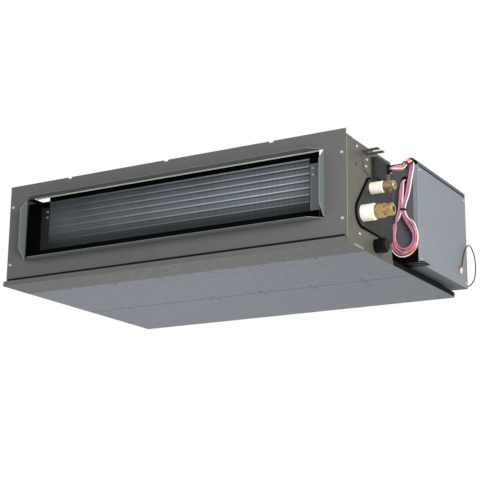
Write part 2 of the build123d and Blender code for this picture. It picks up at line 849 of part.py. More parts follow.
# Distributor at the head of the coil: one pipe in, one thin tube to each row
head_y, head_z = on_slab(tube_along(tubes_per_row - 1), 0)
distributor_foot = head_z - 26
with BuildPart() as liquid_pipe:
    with BuildSketch(Plane.XY.offset(distributor_foot)):
        with Locations((header_x, head_y)):
            Circle(distributor_radius)
    extrude(amount=distributor_length)
    chamfer(liquid_pipe.edges().group_by(Axis.Z)[-1], 3)
    for across, step in zip(row_across, (-4, 4)):
        y, z = on_slab(tube_along(tubes_per_row - 1), across)
        add(tube([
            (header_x, head_y + step, distributor_foot + distributor_length - 1),
            (header_x, y, z),
            (leg_end, y, z),
        ], capillary_radius, [capillary_bend], sides=6))
    add(tube([
        (header_x, head_y, distributor_foot + 1),
        (header_x, deep(liquid_from_front), liquid_height),
        (half_width + sleeve_reach + 6, deep(liquid_from_front), liquid_height),
    ], liquid_radius, [liquid_bend]))
liquid_pipe.part.label = "liquid_pipe"
export_step(liquid_pipe.part, "parts/liquid_pipe.step")

# Foam sleeves and brass flare unions on both pipes
for name, along, height, pipe, sleeve, across_flats, length in (
    ("gas", gas_from_front, gas_height, gas_radius, gas_sleeve_radius, gas_hex, gas_union_length),
    ("liquid", liquid_from_front, liquid_height, liquid_radius, liquid_sleeve_radius, liquid_hex,
     liquid_union_length),
):
    y = deep(along)
    sleeve_end = half_width + sleeve_reach
    with BuildPart() as foam_sleeve:
        add(turned(y, height, [
            (half_width - sleeve_reach + 4, pipe + seat_gap),
            (half_width - sleeve_reach + 4, sleeve),
            (sleeve_end - 3, sleeve),
            (sleeve_end, sleeve - 3),
            (sleeve_end, pipe + seat_gap),
        ]))
    foam_sleeve.part.label = f"{name}_sleeve"
    export_step(foam_sleeve.part, f"parts/{name}_sleeve.step")
    hex_radius = across_flats / 2
    hex_start = sleeve_end + length * 0.12
    hex_length = length * 0.42
    with BuildPart() as flare_union:
        with BuildSketch(Plane(origin=(hex_start, y, height), z_dir=(1, 0, 0))):
            RegularPolygon(hex_radius, 6, major_radius=False)
        extrude(amount=hex_length)
        add(turned(y, height, [
            (sleeve_end, pipe - pipe_wall),
            (sleeve_end, hex_radius + 1),
            (hex_start, hex_radius + 1),
            (hex_start, hex_radius * 0.8),
            (sleeve_end + length * 0.66, hex_radius * 0.72),
            (sleeve_end + length * 0.7, hex_radius * 0.98),
            (sleeve_end + length - 2, hex_radius * 0.98),
            (sleeve_end + length, hex_radius * 0.8),
            (sleeve_end + length, pipe - pipe_wall),
        ]))
        with BuildSketch(Plane(origin=(sleeve_end, y, height), z_dir=(1, 0, 0))):
            Circle(pipe + seat_gap / 2)
        extrude(amount=length * 0.3, mode=Mode.SUBTRACT)
        with BuildSketch(Plane(origin=(sleeve_end, y, height), z_dir=(1, 0, 0))):
            Circle(pipe - pipe_wall)
        extrude(amount=length, mode=Mode.SUBTRACT)
    flare_union.part.label = f"{name}_union"
    export_step(flare_union.part, f"parts/{name}_union.step")

# Drain pan under the coil, with ribs that the end plates stand on
pan_bottom = 2 * sheet + seat_gap
pan_middle = deep((pan_front + pan_back) / 2)
with BuildPart() as drain_pan:
    with BuildSketch(Plane.XY.offset(pan_bottom)):
        with Locations((0, pan_middle)):
            Rectangle(2 * pan_left, pan_back - pan_front)
    extrude(amount=pan_height - pan_bottom)
    with BuildSketch(Plane.XY.offset(pan_height)):
        with Locations((0, pan_middle)):
            Rectangle(2 * (pan_left - pan_wall), pan_back - pan_front - 2 * pan_wall)
    extrude(amount=pan_bottom + pan_floor - pan_height, taper=4, mode=Mode.SUBTRACT)
    with BuildSketch(Plane.XY.offset(pan_bottom + pan_floor)):
        with Locations(*[(x, pan_middle) for x in (coil_left, (coil_left + coil_right) / 2, coil_right)]):
            Rectangle(pan_rib_width, pan_back - pan_front - 44)
    extrude(amount=pan_rib_top - pan_bottom - pan_floor)
    with BuildSketch(Plane.YZ.offset(pan_left - 4 * pan_wall)):
        with Locations((deep(drain_from_front), drain_height)):
            Circle(drain_bore_radius)
    extrude(amount=5 * pan_wall, mode=Mode.SUBTRACT)
drain_pan.part.label = "drain_pan"
export_step(drain_pan.part, "parts/drain_pan.step")

# Drain socket in the side, and the stopper in it
drain_y = deep(drain_from_front)
drain_end = half_width + drain_reach
with BuildPart() as drain_socket:
    add(turned(drain_y, drain_height, [
        (pan_left + seat_gap, drain_bore_radius),
        (pan_left + seat_gap, drain_radius + 4),
        (side - 3, drain_radius + 4),
        (side - 3, drain_radius),
        (half_width + 8, drain_radius),
        (half_width + 9, drain_radius + 1.5),
        (drain_end - 2, drain_radius + 1.5),
        (drain_end, drain_radius),
        (drain_end, drain_bore_radius),
    ]))
drain_socket.part.label = "drain_socket"
export_step(drain_socket.part, "parts/drain_socket.step")
with BuildPart() as drain_plug:
    add(turned(drain_y, drain_height, [
        (drain_end - plug_length, 0),
        (drain_end - plug_length, drain_bore_radius - seat_gap / 2),
        (drain_end + 1, drain_bore_radius - seat_gap / 2),
        (drain_end + 1, drain_bore_radius + 1.5),
        (drain_end + 3, drain_bore_radius + 1),
        (drain_end + 3, 0),
    ]))
drain_plug.part.label = "drain_plug"
export_step(drain_plug.part, "parts/drain_plug.step")

# Spiral housings: one outline, drawn at the wall's outer and inner face
axis_y = deep(axis_from_front)
wheel_places = {"left": motor_middle - wheel_offset, "right": motor_middle + wheel_offset}
housing_half = wheel_width / 2 + housing_side_gap + housing_wall
tongue_height = tongue_radius * sin(radians(tongue_angle))
spiral_sweep = radians(tongue_angle + 270)
spiral_growth = log(crown_radius / tongue_radius) / spiral_sweep


def housing_outline(inset):
    """Spiral round the wheel that opens forward over the tongue."""
    start = radians(tongue_angle) - asin((tongue_height + inset) / (tongue_radius - inset))
    points = []
    for step in range(spiral_runs + 1):
        swept = start + (spiral_sweep - start) * step / spiral_runs
        radius = tongue_radius * exp(spiral_growth * swept) - inset
        rise = radians(tongue_angle) - swept
        points.append((axis_y - radius * cos(rise), axis_height + radius * sin(rise)))
    mouth = deep(partition_from_front - outlet_collar)
    with BuildSketch() as outline:
        with BuildLine():
            Polyline(*points, (mouth, points[-1][1]), (mouth, points[0][1]), close=True)
        make_face()
    return outline.sketch


def housing(middle):
    """Whole spiral housing with a flared inlet in each side."""
    with BuildPart(mode=Mode.PRIVATE) as shell:
        with BuildSketch(Plane.YZ.offset(middle)):
            add(housing_outline(0))
        extrude(amount=housing_half, both=True)
        with BuildSketch(Plane.YZ.offset(middle)):
            add(housing_outline(housing_wall))
        extrude(amount=housing_half - housing_wall, both=True, mode=Mode.SUBTRACT)
        mouth = deep(partition_from_front - outlet_collar)
        with BuildSketch(Plane.XZ.offset(-mouth)):
            with Locations((middle, axis_height + (tongue_height + crown_radius) / 2)):
                Rectangle(2 * (housing_half - housing_wall), crown_radius - tongue_height - 2 * housing_wall)
        extrude(amount=4 * housing_wall, both=True, mode=Mode.SUBTRACT)
        with BuildSketch(Plane.YZ.offset(middle)):
            with Locations((axis_y, axis_height)):
                Circle(inlet_radius)
        extrude(amount=2 * housing_half, both=True, mode=Mode.SUBTRACT)
        for end in (-1, 1):
            wall = middle + end * housing_half
            add(turned(axis_y, axis_height, [
                (wall, inlet_radius),
                (wall + end * inlet_lip, inlet_radius + inlet_lip),
                (wall, inlet_radius + housing_wall),
            ]))
    return shell.part


for side_name, middle in wheel_places.items():
    whole = housing(middle)
    for half_name, keep in (("upper", Keep.TOP), ("lower", Keep.BOTTOM)):
        with BuildPart() as scroll:
            add(whole)
            split(bisect_by=Plane.XY.offset(axis_height), keep=keep)
        scroll.part.label = f"{side_name}_scroll_{half_name}"
        export_step(scroll.part, f"parts/{side_name}_scroll_{half_name}.step")

# Partition with an opening for each housing
with BuildPart() as fan_partition:
    partition_left = seat_gap - side
    partition_right = recess_side - sheet - seat_gap
    with BuildSketch(Plane.YZ.offset(partition_left)):
        add(folded([
            (deep(partition_from_front + 18), 2 * sheet),
            (deep(partition_from_front), 2 * sheet),
            (deep(partition_from_front), top - sheet),
            (deep(partition_from_front + 18), top - sheet),
        ], side=Side.RIGHT))
    extrude(amount=partition_right - partition_left)
    with BuildSketch(Plane.XZ.offset(-deep(partition_from_front))):
        with Locations((motor_middle, axis_height + (tongue_height + crown_radius) / 2)):
            with GridLocations(2 * wheel_offset, 0, 2, 1):
                Rectangle(2 * (housing_half + seat_gap), crown_radius - tongue_height + 2 * seat_gap)
    extrude(amount=4 * sheet, both=True, mode=Mode.SUBTRACT)
fan_partition.part.label = "fan_partition"
export_step(fan_partition.part, "parts/fan_partition.step")

# Centrifugal wheels: forward curved blades between two rims, on a web and hub
blade_tip = (wheel_radius * cos(asin(blade_lead / wheel_radius)), blade_lead)
blade_chord = Vector(blade_tip[0] - wheel_inner_radius, blade_tip[1])
blade_bulge = (
    (wheel_inner_radius + blade_tip[0]) / 2 + blade_bow * blade_chord.Y / blade_chord.length,
    blade_tip[1] / 2 - blade_bow * blade_chord.X / blade_chord.length,
)
with BuildSketch() as blade:
    with BuildLine():
        Polyline((wheel_inner_radius, 0), blade_bulge, blade_tip)
        offset(amount=blade_thickness, side=Side.LEFT, kind=Kind.INTERSECTION)
    make_face()

for side_name, middle in wheel_places.items():
    with BuildPart() as wheel:
        with BuildSketch(Plane(origin=(middle - wheel_width / 2, axis_y, axis_height), x_dir=(0, 1, 0),
                               z_dir=(1, 0, 0))):
            with PolarLocations(0, blade_count):
                add(blade.sketch)
        extrude(amount=wheel_width)
        for start, width, inner, outer in (
            (-wheel_width / 2, rim_width, wheel_radius - rim_inward, wheel_radius + rim_outward),
            (wheel_width / 2 - rim_width, rim_width, wheel_radius - rim_inward, wheel_radius + rim_outward),
            (-web_thickness / 2, web_thickness, hub_radius - web_thickness, wheel_radius),
        ):
            with BuildSketch(Plane.YZ.offset(middle + start)):
                with Locations((axis_y, axis_height)):
                    RegularPolygon(outer, blade_count)
                    RegularPolygon(inner, blade_count, mode=Mode.SUBTRACT)
            extrude(amount=width)
        with BuildSketch(Plane.YZ.offset(middle)):
            with Locations((axis_y, axis_height)):
                Circle(hub_radius)
                Circle(shaft_radius + shaft_fit, mode=Mode.SUBTRACT)
        extrude(amount=hub_length / 2, both=True)
    wheel.part.label = f"{side_name}_fan_wheel"
    export_step(wheel.part, f"parts/{side_name}_fan_wheel.step")

# Shaft, motor, its rubber rings, bracket and straps
with BuildPart() as fan_shaft:
    with BuildSketch(Plane.YZ.offset(wheel_places["left"] - hub_length / 2 - 6)):
        with Locations((axis_y, axis_height)):
            Circle(shaft_radius)
    extrude(amount=2 * wheel_offset + hub_length + 12)
fan_shaft.part.label = "fan_shaft"
export_step(fan_shaft.part, "parts/fan_shaft.step")

boss_end = motor_length / 2 + boss_length
with BuildPart() as fan_motor:
    with BuildSketch(axial(axis_y, axis_height)):
        with BuildLine():
            Polyline(
                (motor_middle - boss_end, shaft_radius + shaft_fit),
                (motor_middle - boss_end, boss_radius),
                (motor_middle - motor_length / 2, boss_radius),
                (motor_middle - motor_length / 2, motor_radius - motor_dome),
                (motor_middle - motor_length / 2 + motor_dome, motor_radius),
                (motor_middle + motor_length / 2 - motor_dome, motor_radius),
                (motor_middle + motor_length / 2, motor_radius - motor_dome),
                (motor_middle + motor_length / 2, boss_radius),
                (motor_middle + boss_end, boss_radius),
                (motor_middle + boss_end, shaft_radius + shaft_fit),
                close=True,
            )
        make_face()
    revolve(axis=along_x(axis_y, axis_height))
fan_motor.part.label = "fan_motor"
export_step(fan_motor.part, "parts/fan_motor.step")

ring_starts = (motor_middle - boss_end + 1, motor_middle + boss_end - 1 - strap_width)
with BuildPart() as motor_rings:
    for start in ring_starts:
        add(turned(axis_y, axis_height, [
            (start, boss_radius + seat_gap / 2),
            (start, ring_radius),
            (start + strap_width, ring_radius),
            (start + strap_width, boss_radius + seat_gap / 2),
        ]))
motor_rings.part.label = "motor_rings"
export_step(motor_rings.part, "parts/motor_rings.step")

bracket_front = deep(partition_from_front + sheet)
bracket_bottom = axis_height - 44
with BuildPart() as motor_bracket:
    with BuildSketch(Plane.XZ.offset(-bracket_front)):
        with Locations((motor_middle, (axis_height + bracket_bottom) / 2)):
            RectangleRounded(2 * boss_end + 2 * bracket_foot, axis_height - bracket_bottom, 6)
    extrude(amount=-bracket_thickness)
    for start, out in zip(ring_starts, (1, -1)):
        web_x = start if out > 0 else start + strap_width
        with BuildSketch(Plane.XZ.offset(-bracket_front)):
            with BuildLine():
                Polyline(
                    (web_x, bracket_bottom),
                    (web_x, axis_height),
                    (web_x + out * strap_width, axis_height),
                    (web_x + out * strap_width, axis_height - bracket_thickness),
                    (web_x + out * bracket_thickness, axis_height - bracket_thickness),
                    (web_x + out * bracket_thickness, bracket_bottom),
                    close=True,
                )
            make_face()
        extrude(amount=-(axis_y + ring_radius + 12 - bracket_front))
    with BuildSketch(Plane.YZ.offset(motor_middle)):
        with Locations((axis_y, axis_height)):
            Circle(ring_radius + seat_gap / 2)
    extrude(amount=boss_end, both=True, mode=Mode.SUBTRACT)
motor_bracket.part.label = "motor_bracket"
export_step(motor_bracket.part, "parts/motor_bracket.step")

with BuildPart() as motor_straps:
    for start in ring_starts:
        with BuildSketch(Plane.YZ.offset(start)):
            with Locations((axis_y, axis_height)):
                Circle(ring_radius + seat_gap / 2 + 2)
                Circle(ring_radius + seat_gap / 2, mode=Mode.SUBTRACT)
            with Locations((axis_y, axis_height - ring_radius)):
                Rectangle(3 * ring_radius, 2 * ring_radius, mode=Mode.SUBTRACT)
            for ear in (-1, 1):
                with Locations((axis_y + ear * (ring_radius + 6), axis_height + 1)):
                    Rectangle(11, 2)
        extrude(amount=strap_width)
motor_straps.part.label = "motor_straps"
export_step(motor_straps.part, "parts/motor_straps.step")

# Control box: an open tray of sheet whose top folds down over the cover
box_left = recess_side + seat_gap
box_front = deep(box_from_front)
box_middle_y = (box_front + rear) / 2
box_depth = rear - box_front
cable_hole_x = box_left + cable_hole_from_left
lead_x = box_right - lead_from_right
with BuildPart() as control_box:
    with BuildSketch(Plane.YZ.offset(box_left)):
        with Locations((box_middle_y, (box_top + box_bottom) / 2)):
            Rectangle(box_depth, box_top - box_bottom)
    extrude(amount=box_right - box_left)
    with BuildSketch(Plane.YZ.offset(box_left + box_sheet)):
        with Locations((box_middle_y, (box_top + box_bottom) / 2)):
            Rectangle(box_depth - 2 * box_sheet, box_top - box_bottom - 2 * box_sheet)
    extrude(amount=box_right - box_left, mode=Mode.SUBTRACT)
    with BuildSketch(Plane.YZ.offset(box_right)):
        with Locations((box_middle_y, box_top - rim_height / 2)):
            Rectangle(box_depth, rim_height)
    extrude(amount=sheet)
    with BuildSketch(Plane.YZ.offset(box_right)):
        with Locations((box_middle_y, (box_bottom + box_top - rim_height) / 2)):
            with GridLocations(box_depth - tab_size, box_top - rim_height - box_bottom - 2 * tab_size, 2, 2):
                Rectangle(tab_size, tab_size)
    extrude(amount=-box_sheet)
    with BuildSketch(Plane.XZ.offset(-box_front)):
        with Locations((cable_hole_x, cable_hole_height)):
            Circle(cable_hole_radius)
    extrude(amount=2 * box_sheet, both=True, mode=Mode.SUBTRACT)
    with BuildSketch(Plane.XZ.offset(-rear)):
        with Locations((lead_x, lead_height)):
            Circle(lead_hole_radius)
    extrude(amount=2 * box_sheet, both=True, mode=Mode.SUBTRACT)
    with BuildSketch(Plane.YZ.offset(box_left)):
        with Locations((box_middle_y, box_top - 30)):
            SlotOverall(60, 16)
    extrude(amount=box_sheet, mode=Mode.SUBTRACT)
control_box.part.label = "control_box"
export_step(control_box.part, "parts/control_box.step")

# Its cover, folded round the front and rear of the box
with BuildPart() as control_box_cover:
    with BuildSketch(Plane.XY.offset(box_bottom)):
        add(folded([
            (box_right - cover_lip, box_front - seat_gap),
            (box_right + seat_gap, box_front - seat_gap),
            (box_right + seat_gap, rear + seat_gap),
            (box_right - cover_lip, rear + seat_gap),
        ], side=Side.RIGHT, radius=seat_gap))
    extrude(amount=box_top - rim_height - cover_gap - box_bottom)
control_box_cover.part.label = "control_box_cover"
export_step(control_box_cover.part, "parts/control_box_cover.step")

# Circuit board on stand-offs, with the parts soldered to it
board_left = box_left + box_sheet
board_face = board_left + board_standoff + board_thickness
board_front = box_front + 16
board_low = box_bottom + 48
board_length = 196.0
board_height = 176.0
board_middle = (board_front + board_length / 2, board_low + board_height / 2)
with BuildPart() as circuit_board:
    with BuildSketch(Plane.YZ.offset(board_left + board_standoff)):
        with Locations(board_middle):
            Rectangle(board_length, board_height)
    extrude(amount=board_thickness)
    with BuildSketch(Plane.YZ.offset(board_left)):
        with Locations(board_middle):
            with GridLocations(board_length - 14, board_height - 14, 2, 2):
                RegularPolygon(3, 6)
    extrude(amount=board_standoff)
circuit_board.part.label = "circuit_board"
export_step(circuit_board.part, "parts/circuit_board.step")
with BuildPart() as board_components:
    with BuildSketch(Plane.YZ.offset(board_face)):
        with Locations((board_front + 34, board_low + 130), (board_front + 66, board_low + 130)):
            RegularPolygon(12, 12)
    extrude(amount=30)
    with BuildSketch(Plane.YZ.offset(board_face)):
        with Locations((board_front + 150, board_low + 120)):
            with GridLocations(24, 40, 2, 2):
                Rectangle(18, 28)
    extrude(amount=16)
    with BuildSketch(Plane.YZ.offset(board_face)):
        with Locations((board_front + 98, board_low + 16)):
            with GridLocations(25, 0, 7, 1):
                Rectangle(19, 9)
    extrude(amount=11)
    with BuildSketch(Plane.YZ.offset(board_face)):
        with Locations((board_front + 50, board_low + 70)):
            Rectangle(64, 36)
            with GridLocations(8, 0, 7, 1):
                with Locations((4, 6)):
                    Rectangle(4.4, 24, mode=Mode.SUBTRACT)
    extrude(amount=26)
    with BuildSketch(Plane.YZ.offset(board_face)):
        with Locations((board_front + 140, board_low + 62)):
            Rectangle(34, 34)
    extrude(amount=3)
board_components.part.label = "board_components"
export_step(board_components.part, "parts/board_components.step")
with BuildPart() as transformer:
    transformer_middle = (board_front + board_length + 46, board_low + 120)
    with BuildSketch(Plane.YZ.offset(board_left)):
        with Locations(transformer_middle):
            Rectangle(66, 52)
    extrude(amount=2)
    with BuildSketch(Plane.YZ.offset(board_left)):
        with Locations(transformer_middle):
            Rectangle(40, 48)
    extrude(amount=24)
    with BuildSketch(Plane.XY.offset(transformer_middle[1] - 18)):
        with Locations((board_left + 19, transformer_middle[0])):
            RectangleRounded(34, 28, 6)
    extrude(amount=36)
transformer.part.label = "transformer"
export_step(transformer.part, "parts/transformer.step")
with BuildPart() as terminal_block:
    block_middle = (board_front + board_length + 46, board_low + 16)
    with BuildSketch(Plane.YZ.offset(board_left)):
        with Locations(block_middle):
            Rectangle(84, 34)
    extrude(amount=9)
    with BuildSketch(Plane.YZ.offset(board_left + 9)):
        with Locations(block_middle):
            with GridLocations(13.6, 0, 7, 1):
                Rectangle(2, 34)
            Rectangle(84, 3)
    extrude(amount=8)
    with BuildSketch(Plane.YZ.offset(board_left + 9)):
        with Locations(block_middle):
            with GridLocations(13.6, 18, 6, 2):
                RegularPolygon(3.4, 6)
    extrude(amount=4)
terminal_block.part.label = "terminal_block"
export_step(terminal_block.part, "parts/terminal_block.step")

# Grommets in the front of the box for the cables, and in its rear for the thin lead
with BuildPart() as box_grommets:
    for x, z, wall_y, out, radius, bore in (
        (cable_hole_x, cable_hole_height, box_front, -1, cable_hole_radius, cable_hole_radius - 3),
        (lead_x, lead_height, rear, 1, lead_hole_radius, tether_radius + 2 * seat_gap),
    ):
        inner = wall_y - out * (box_sheet + seat_gap)
        outer = wall_y + out * seat_gap
        for start, length, width in (
            (inner, -out * grommet_lip, radius + grommet_lip / 2),
            (inner, outer - inner, radius - seat_gap),
            (outer, out * grommet_lip, radius + grommet_lip / 2),
        ):
            with BuildSketch(Plane.XZ.offset(-start)):
                with Locations((x, z)):
                    RegularPolygon(width, grommet_sides)
                    RegularPolygon(bore, grommet_sides, mode=Mode.SUBTRACT)
            extrude(amount=-length)
box_grommets.part.label = "box_grommets"
export_step(box_grommets.part, "parts/box_grommets.step")

# Slotted bracket under the front of the box
with BuildPart() as lower_bracket:
    bracket_right = box_right + lower_bracket_reach
    with BuildSketch(Plane.XY.offset(box_bottom - hanger_thickness)):
        with Locations(((box_left + bracket_right) / 2, deep(lower_bracket_from_front))):
            RectangleRounded(bracket_right - box_left, lower_bracket_width, 8)
        with Locations((box_right - 2, deep(lower_bracket_from_front - 10))):
            SlotOverall(24, hanger_slot_width, mode=Mode.SUBTRACT)
    extrude(amount=hanger_thickness)
    with BuildSketch(Plane.XY.offset(sheet + seat_gap)):
        with Locations((box_left + sheet / 2, deep(lower_bracket_from_front))):
            Rectangle(sheet, lower_bracket_width - 16)
    extrude(amount=box_bottom - hanger_thickness - sheet - seat_gap)
lower_bracket.part.label = "lower_bracket"
export_step(lower_bracket.part, "parts/lower_bracket.step")

# Cable bundle from the casing to the corner of the box and down to its tie
trunk_start = half_width + 10
trunk_route = [
    (trunk_start, deep(grommet_from_front), grommet_height),
    (trunk_start + 16, deep(226), 229),
    (502, deep(254), 237),
    (505, deep(274), 262),
    (507, deep(303), 265),
    (505, deep(306), 226),
    (499, deep(306), 188),
    (480, deep(304.5), 163),
    (478, deep(304), 146),
]
loop_route = [
    (482.4, deep(304), 143.6),
    (485, deep(304), 128),
    (500, deep(304), 110),
    (511, deep(304), 82),
    (504, deep(304), 54),
    (482, deep(304), 40),
    (459, deep(304), 50),
    (448, deep(304), 78),
    (452, deep(304), 108),
    (462, deep(304), 128),
    (464.5, deep(304), 150),
    (462, deep(304), 175),
    (466, deep(305), 204),
    (477, deep(307), 224),
    (cable_hole_x, box_front - 2, cable_hole_height),
]
with BuildPart() as harness_trunk:
    add(tube(trunk_route, trunk_radius, sides=8))
harness_trunk.part.label = "harness_trunk"
export_step(harness_trunk.part, "parts/harness_trunk.step")
with BuildPart() as harness_loop:
    add(tube(loop_route, loop_radius, sides=6))
harness_loop.part.label = "harness_loop"
export_step(harness_loop.part, "parts/harness_loop.step")

# Ties round the bundle, and the clip that holds it to the corner of the box
def band(route, run, share):
    """Plane in the middle of one run of a route, square to it."""
    start = Vector(*route[run])
    end = Vector(*route[run + 1])
    return Plane(origin=start + (end - start) * share, z_dir=end - start)


with BuildPart() as harness_ties:
    for place in (band(trunk_route, 2, 0.45), band(trunk_route, 7, 0.75)):
        with BuildSketch(place):
            RegularPolygon(trunk_radius + tie_slack + tie_thickness, tie_sides)
            with Locations((trunk_radius + tie_slack + tie_lock / 2, 0)):
                Rectangle(tie_lock, tie_lock)
            RegularPolygon(trunk_radius + tie_slack, tie_sides, mode=Mode.SUBTRACT)
        extrude(amount=tie_width / 2, both=True)
harness_ties.part.label = "harness_ties"
export_step(harness_ties.part, "parts/harness_ties.step")
clip_place = band(trunk_route, 3, 0.5)
with BuildPart() as harness_clip:
    with BuildSketch(clip_place):
        RegularPolygon(trunk_radius + tie_slack + sheet, tie_sides)
        RegularPolygon(trunk_radius + tie_slack, tie_sides, mode=Mode.SUBTRACT)
    extrude(amount=tie_width / 2, both=True)
    clip_top = clip_place.origin.Z + trunk_radius + tie_slack + sheet
    strip_start = clip_place.origin.Y + tie_width / 4
    with BuildSketch(Plane.YZ.offset(clip_place.origin.X - clip_width / 2)):
        with BuildLine():
            Polyline(
                (strip_start, clip_top - sheet),
                (strip_start, clip_top),
                (box_front, clip_top),
                (box_front, box_top - rim_height + seat_gap),
                (box_front - sheet, box_top - rim_height + seat_gap),
                (box_front - sheet, clip_top - sheet),
                close=True,
            )
        make_face()
    extrude(amount=clip_width)
harness_clip.part.label = "harness_clip"
export_step(harness_clip.part, "parts/harness_clip.step")

# Lead at the rear of the box that ends in a small connector
tether_route = [
    (lead_x, rear + 0.5, lead_height),
    (lead_x + 1, rear + 14, lead_height),
    (504, rear + 30, 31),
    (516, rear + 39, 49),
    (520, rear + 40, 76),
    (520, rear + 38, 102),
    (518, rear + 29, 125),
    (516.5, rear + 11, 137),
    (516, rear - 9, 130),
    (516, rear - 28, 111),
    (516, rear - 43, 87),
    (516, rear - 53, 61),
]
with BuildPart() as tether_lead:
    add(tube(tether_route, tether_radius, sides=5))
tether_lead.part.label = "tether_lead"
export_step(tether_lead.part, "parts/tether_lead.step")

# Connector on the end of the lead
lead_end = Vector(*tether_route[-1])
lead_way = lead_end - Vector(*tether_route[-2])
with BuildPart() as lead_connector:
    with BuildSketch(Plane(origin=lead_end, x_dir=(1, 0, 0), z_dir=lead_way)):
        RectangleRounded(5, 8, 0.8)
    extrude(amount=9)
    with BuildSketch(Plane(origin=lead_end + lead_way.normalized() * 9, x_dir=(1, 0, 0), z_dir=lead_way)):
        RectangleRounded(4.2, 6.6, 0.6)
    extrude(amount=6)
lead_connector.part.label = "lead_connector"
export_step(lead_connector.part, "parts/lead_connector.step")

for name, route in (("harness trunk", trunk_route), ("harness loop", loop_route), ("lead", tether_route)):
    print(name, "bend radii", [round(radius, 1) for radius in easy_radii(route)])
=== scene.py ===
import math

import bmesh
import bpy
from bpy.props import FloatProperty, FloatVectorProperty, PointerProperty
from mathutils import Matrix, Vector


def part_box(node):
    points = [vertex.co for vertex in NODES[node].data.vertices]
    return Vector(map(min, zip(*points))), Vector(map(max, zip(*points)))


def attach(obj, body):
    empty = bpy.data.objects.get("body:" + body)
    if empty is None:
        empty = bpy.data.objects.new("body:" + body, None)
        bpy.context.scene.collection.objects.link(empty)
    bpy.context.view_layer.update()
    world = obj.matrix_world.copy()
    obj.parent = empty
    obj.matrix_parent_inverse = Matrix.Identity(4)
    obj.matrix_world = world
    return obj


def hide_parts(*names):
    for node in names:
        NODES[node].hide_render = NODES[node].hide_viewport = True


bl_info = {
    "name": "Ducted air conditioner looks",
    "version": (1, 0, 0),
    "blender": (4, 5, 0),
    "location": "View3D > Sidebar > Air conditioner",
    "description": "Finishes, screws, fins and cables for a ducted air conditioner",
    "category": "Object",
}

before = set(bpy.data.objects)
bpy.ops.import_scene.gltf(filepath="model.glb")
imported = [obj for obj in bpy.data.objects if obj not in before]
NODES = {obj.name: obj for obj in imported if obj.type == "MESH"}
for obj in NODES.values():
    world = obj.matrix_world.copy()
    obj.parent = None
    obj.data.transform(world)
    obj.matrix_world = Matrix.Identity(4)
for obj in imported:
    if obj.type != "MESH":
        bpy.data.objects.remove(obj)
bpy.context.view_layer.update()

# Places that repeat the CAD, in metres
FRONT = -0.3175
REAR = 0.3175
HALF_WIDTH = 0.475
BOX_FRONT = FRONT + 0.320
BOX_COVER = 0.5115
HANGER_FACE = HALF_WIDTH + 0.002
SHEET = 0.0012
SEAM = FRONT + 0.353

# The coil is a slab that leans back: its middle, its tube rows, and the way from its middle to its rear
COIL_LEAN = math.radians(23)
COIL_MIDDLE = Vector((-0.020, FRONT + 0.1105, 0.1279))
TUBE_PITCH = 0.021
TUBE_ROWS = 8
SLAB_REAR = 0.0185
EDGE_DEPTH = 0.0012

# What the front of the coil shows between its end plates, where its foot is painted dark as shade
FIN_FACE = FRONT + 0.0578
FIN_LEFT = -0.3945
FIN_RIGHT = 0.3545
FIN_FOOT = 0.0600
FIN_HEAD = 0.2270
RIDGE_LOWEST = 0.1239
RIDGE_PITCH = 0.0167
RIDGE_HEIGHT = 0.0028
RIDGE_COUNT = 7
FOOT_SHADE_LOW = 0.112
FOOT_SHADE_HIGH = 0.150
FOAM_FACE = FRONT + 0.0598
COIL_END = 0.379

# Hems along the edge of a side flap, drawn in the lighter cover steel as painted highlights: its reach in
# front of the flange, with the height there
FLAP_EDGE = 0.4206
FLAP_HEM = ((0.0012, 0.0658), (0.0246, 0.0920), (0.0246, 0.1925), (0.0012, 0.2187))
HEM_WIDTH = 0.0018
HEM_THICKNESS = 0.0020

# Dimples round the screws of the bottom, whose painted shade its material draws in rows
MARK_PITCH = 0.14
MARK_RADIUS = 0.0038
MARK_ROWS = (FRONT + 0.100, SEAM - 0.014, SEAM + 0.014, REAR - 0.009)
SEAM_SHADE = 0.0014

# Screws: sides of a head, and the columns of the rows in the bottom
SCREW_SIDES = 18
BOTTOM_COLUMNS = (-0.42, -0.14, 0.14, 0.42)

# Bead of sealant along the lip
BEAD_RADIUS = 0.0016
BEAD_LENGTH = 0.93
BEAD_CUTS = 180

# Camera as fitted to the photograph, its turns in degrees
CAMERA_TURNS = (30.458, 14.721, 0.621)
CAMERA_PLACE = (1.63065, -2.42077 + FRONT, -0.69915)


def linear(code):
    """Linear colour of an sRGB hex code."""
    parts = [int(code[start:start + 2], 16) / 255 for start in (1, 3, 5)]
    return [part / 12.92 if part <= 0.04045 else ((part + 0.055) / 1.055) ** 2.4 for part in parts]


def colour(name, description, code):
    """Colour setting with its default."""
    return FloatVectorProperty(name=name, description=description, subtype="COLOR", min=0, max=1,
                               default=linear(code))


def size(name, description, metres):
    """Length setting with its default."""
    return FloatProperty(name=name, description=description, unit="LENGTH", min=0, default=metres)


class SheetSettings(bpy.types.PropertyGroup):
    zinc: colour("Zinc", "Coated steel of the flange and the top", "#626260")
    zinc_side: colour("Side zinc", "Coated steel of the side panels, yellowed by passivation", "#605D53")
    zinc_under: colour("Under zinc", "Coated steel of the bottom panels", "#777B82")
    zinc_box: colour("Box zinc", "Coated steel of the control box", "#868C93")
    zinc_plate: colour("Pipe plate", "Coated steel behind the pipes, dulled and darkened", "#2E302F")
    # Painted light: the flaps get a lighter copy of the flange's zinc
    flap: colour("Flap steel", "Flaps of the outlet, which catch more light", "#6F7776")
    spangle: size("Spangle", "Width of one zinc crystal", 0.011)
    screw: colour("Screw zinc", "Bright plating of the screws", "#C9CBCC")


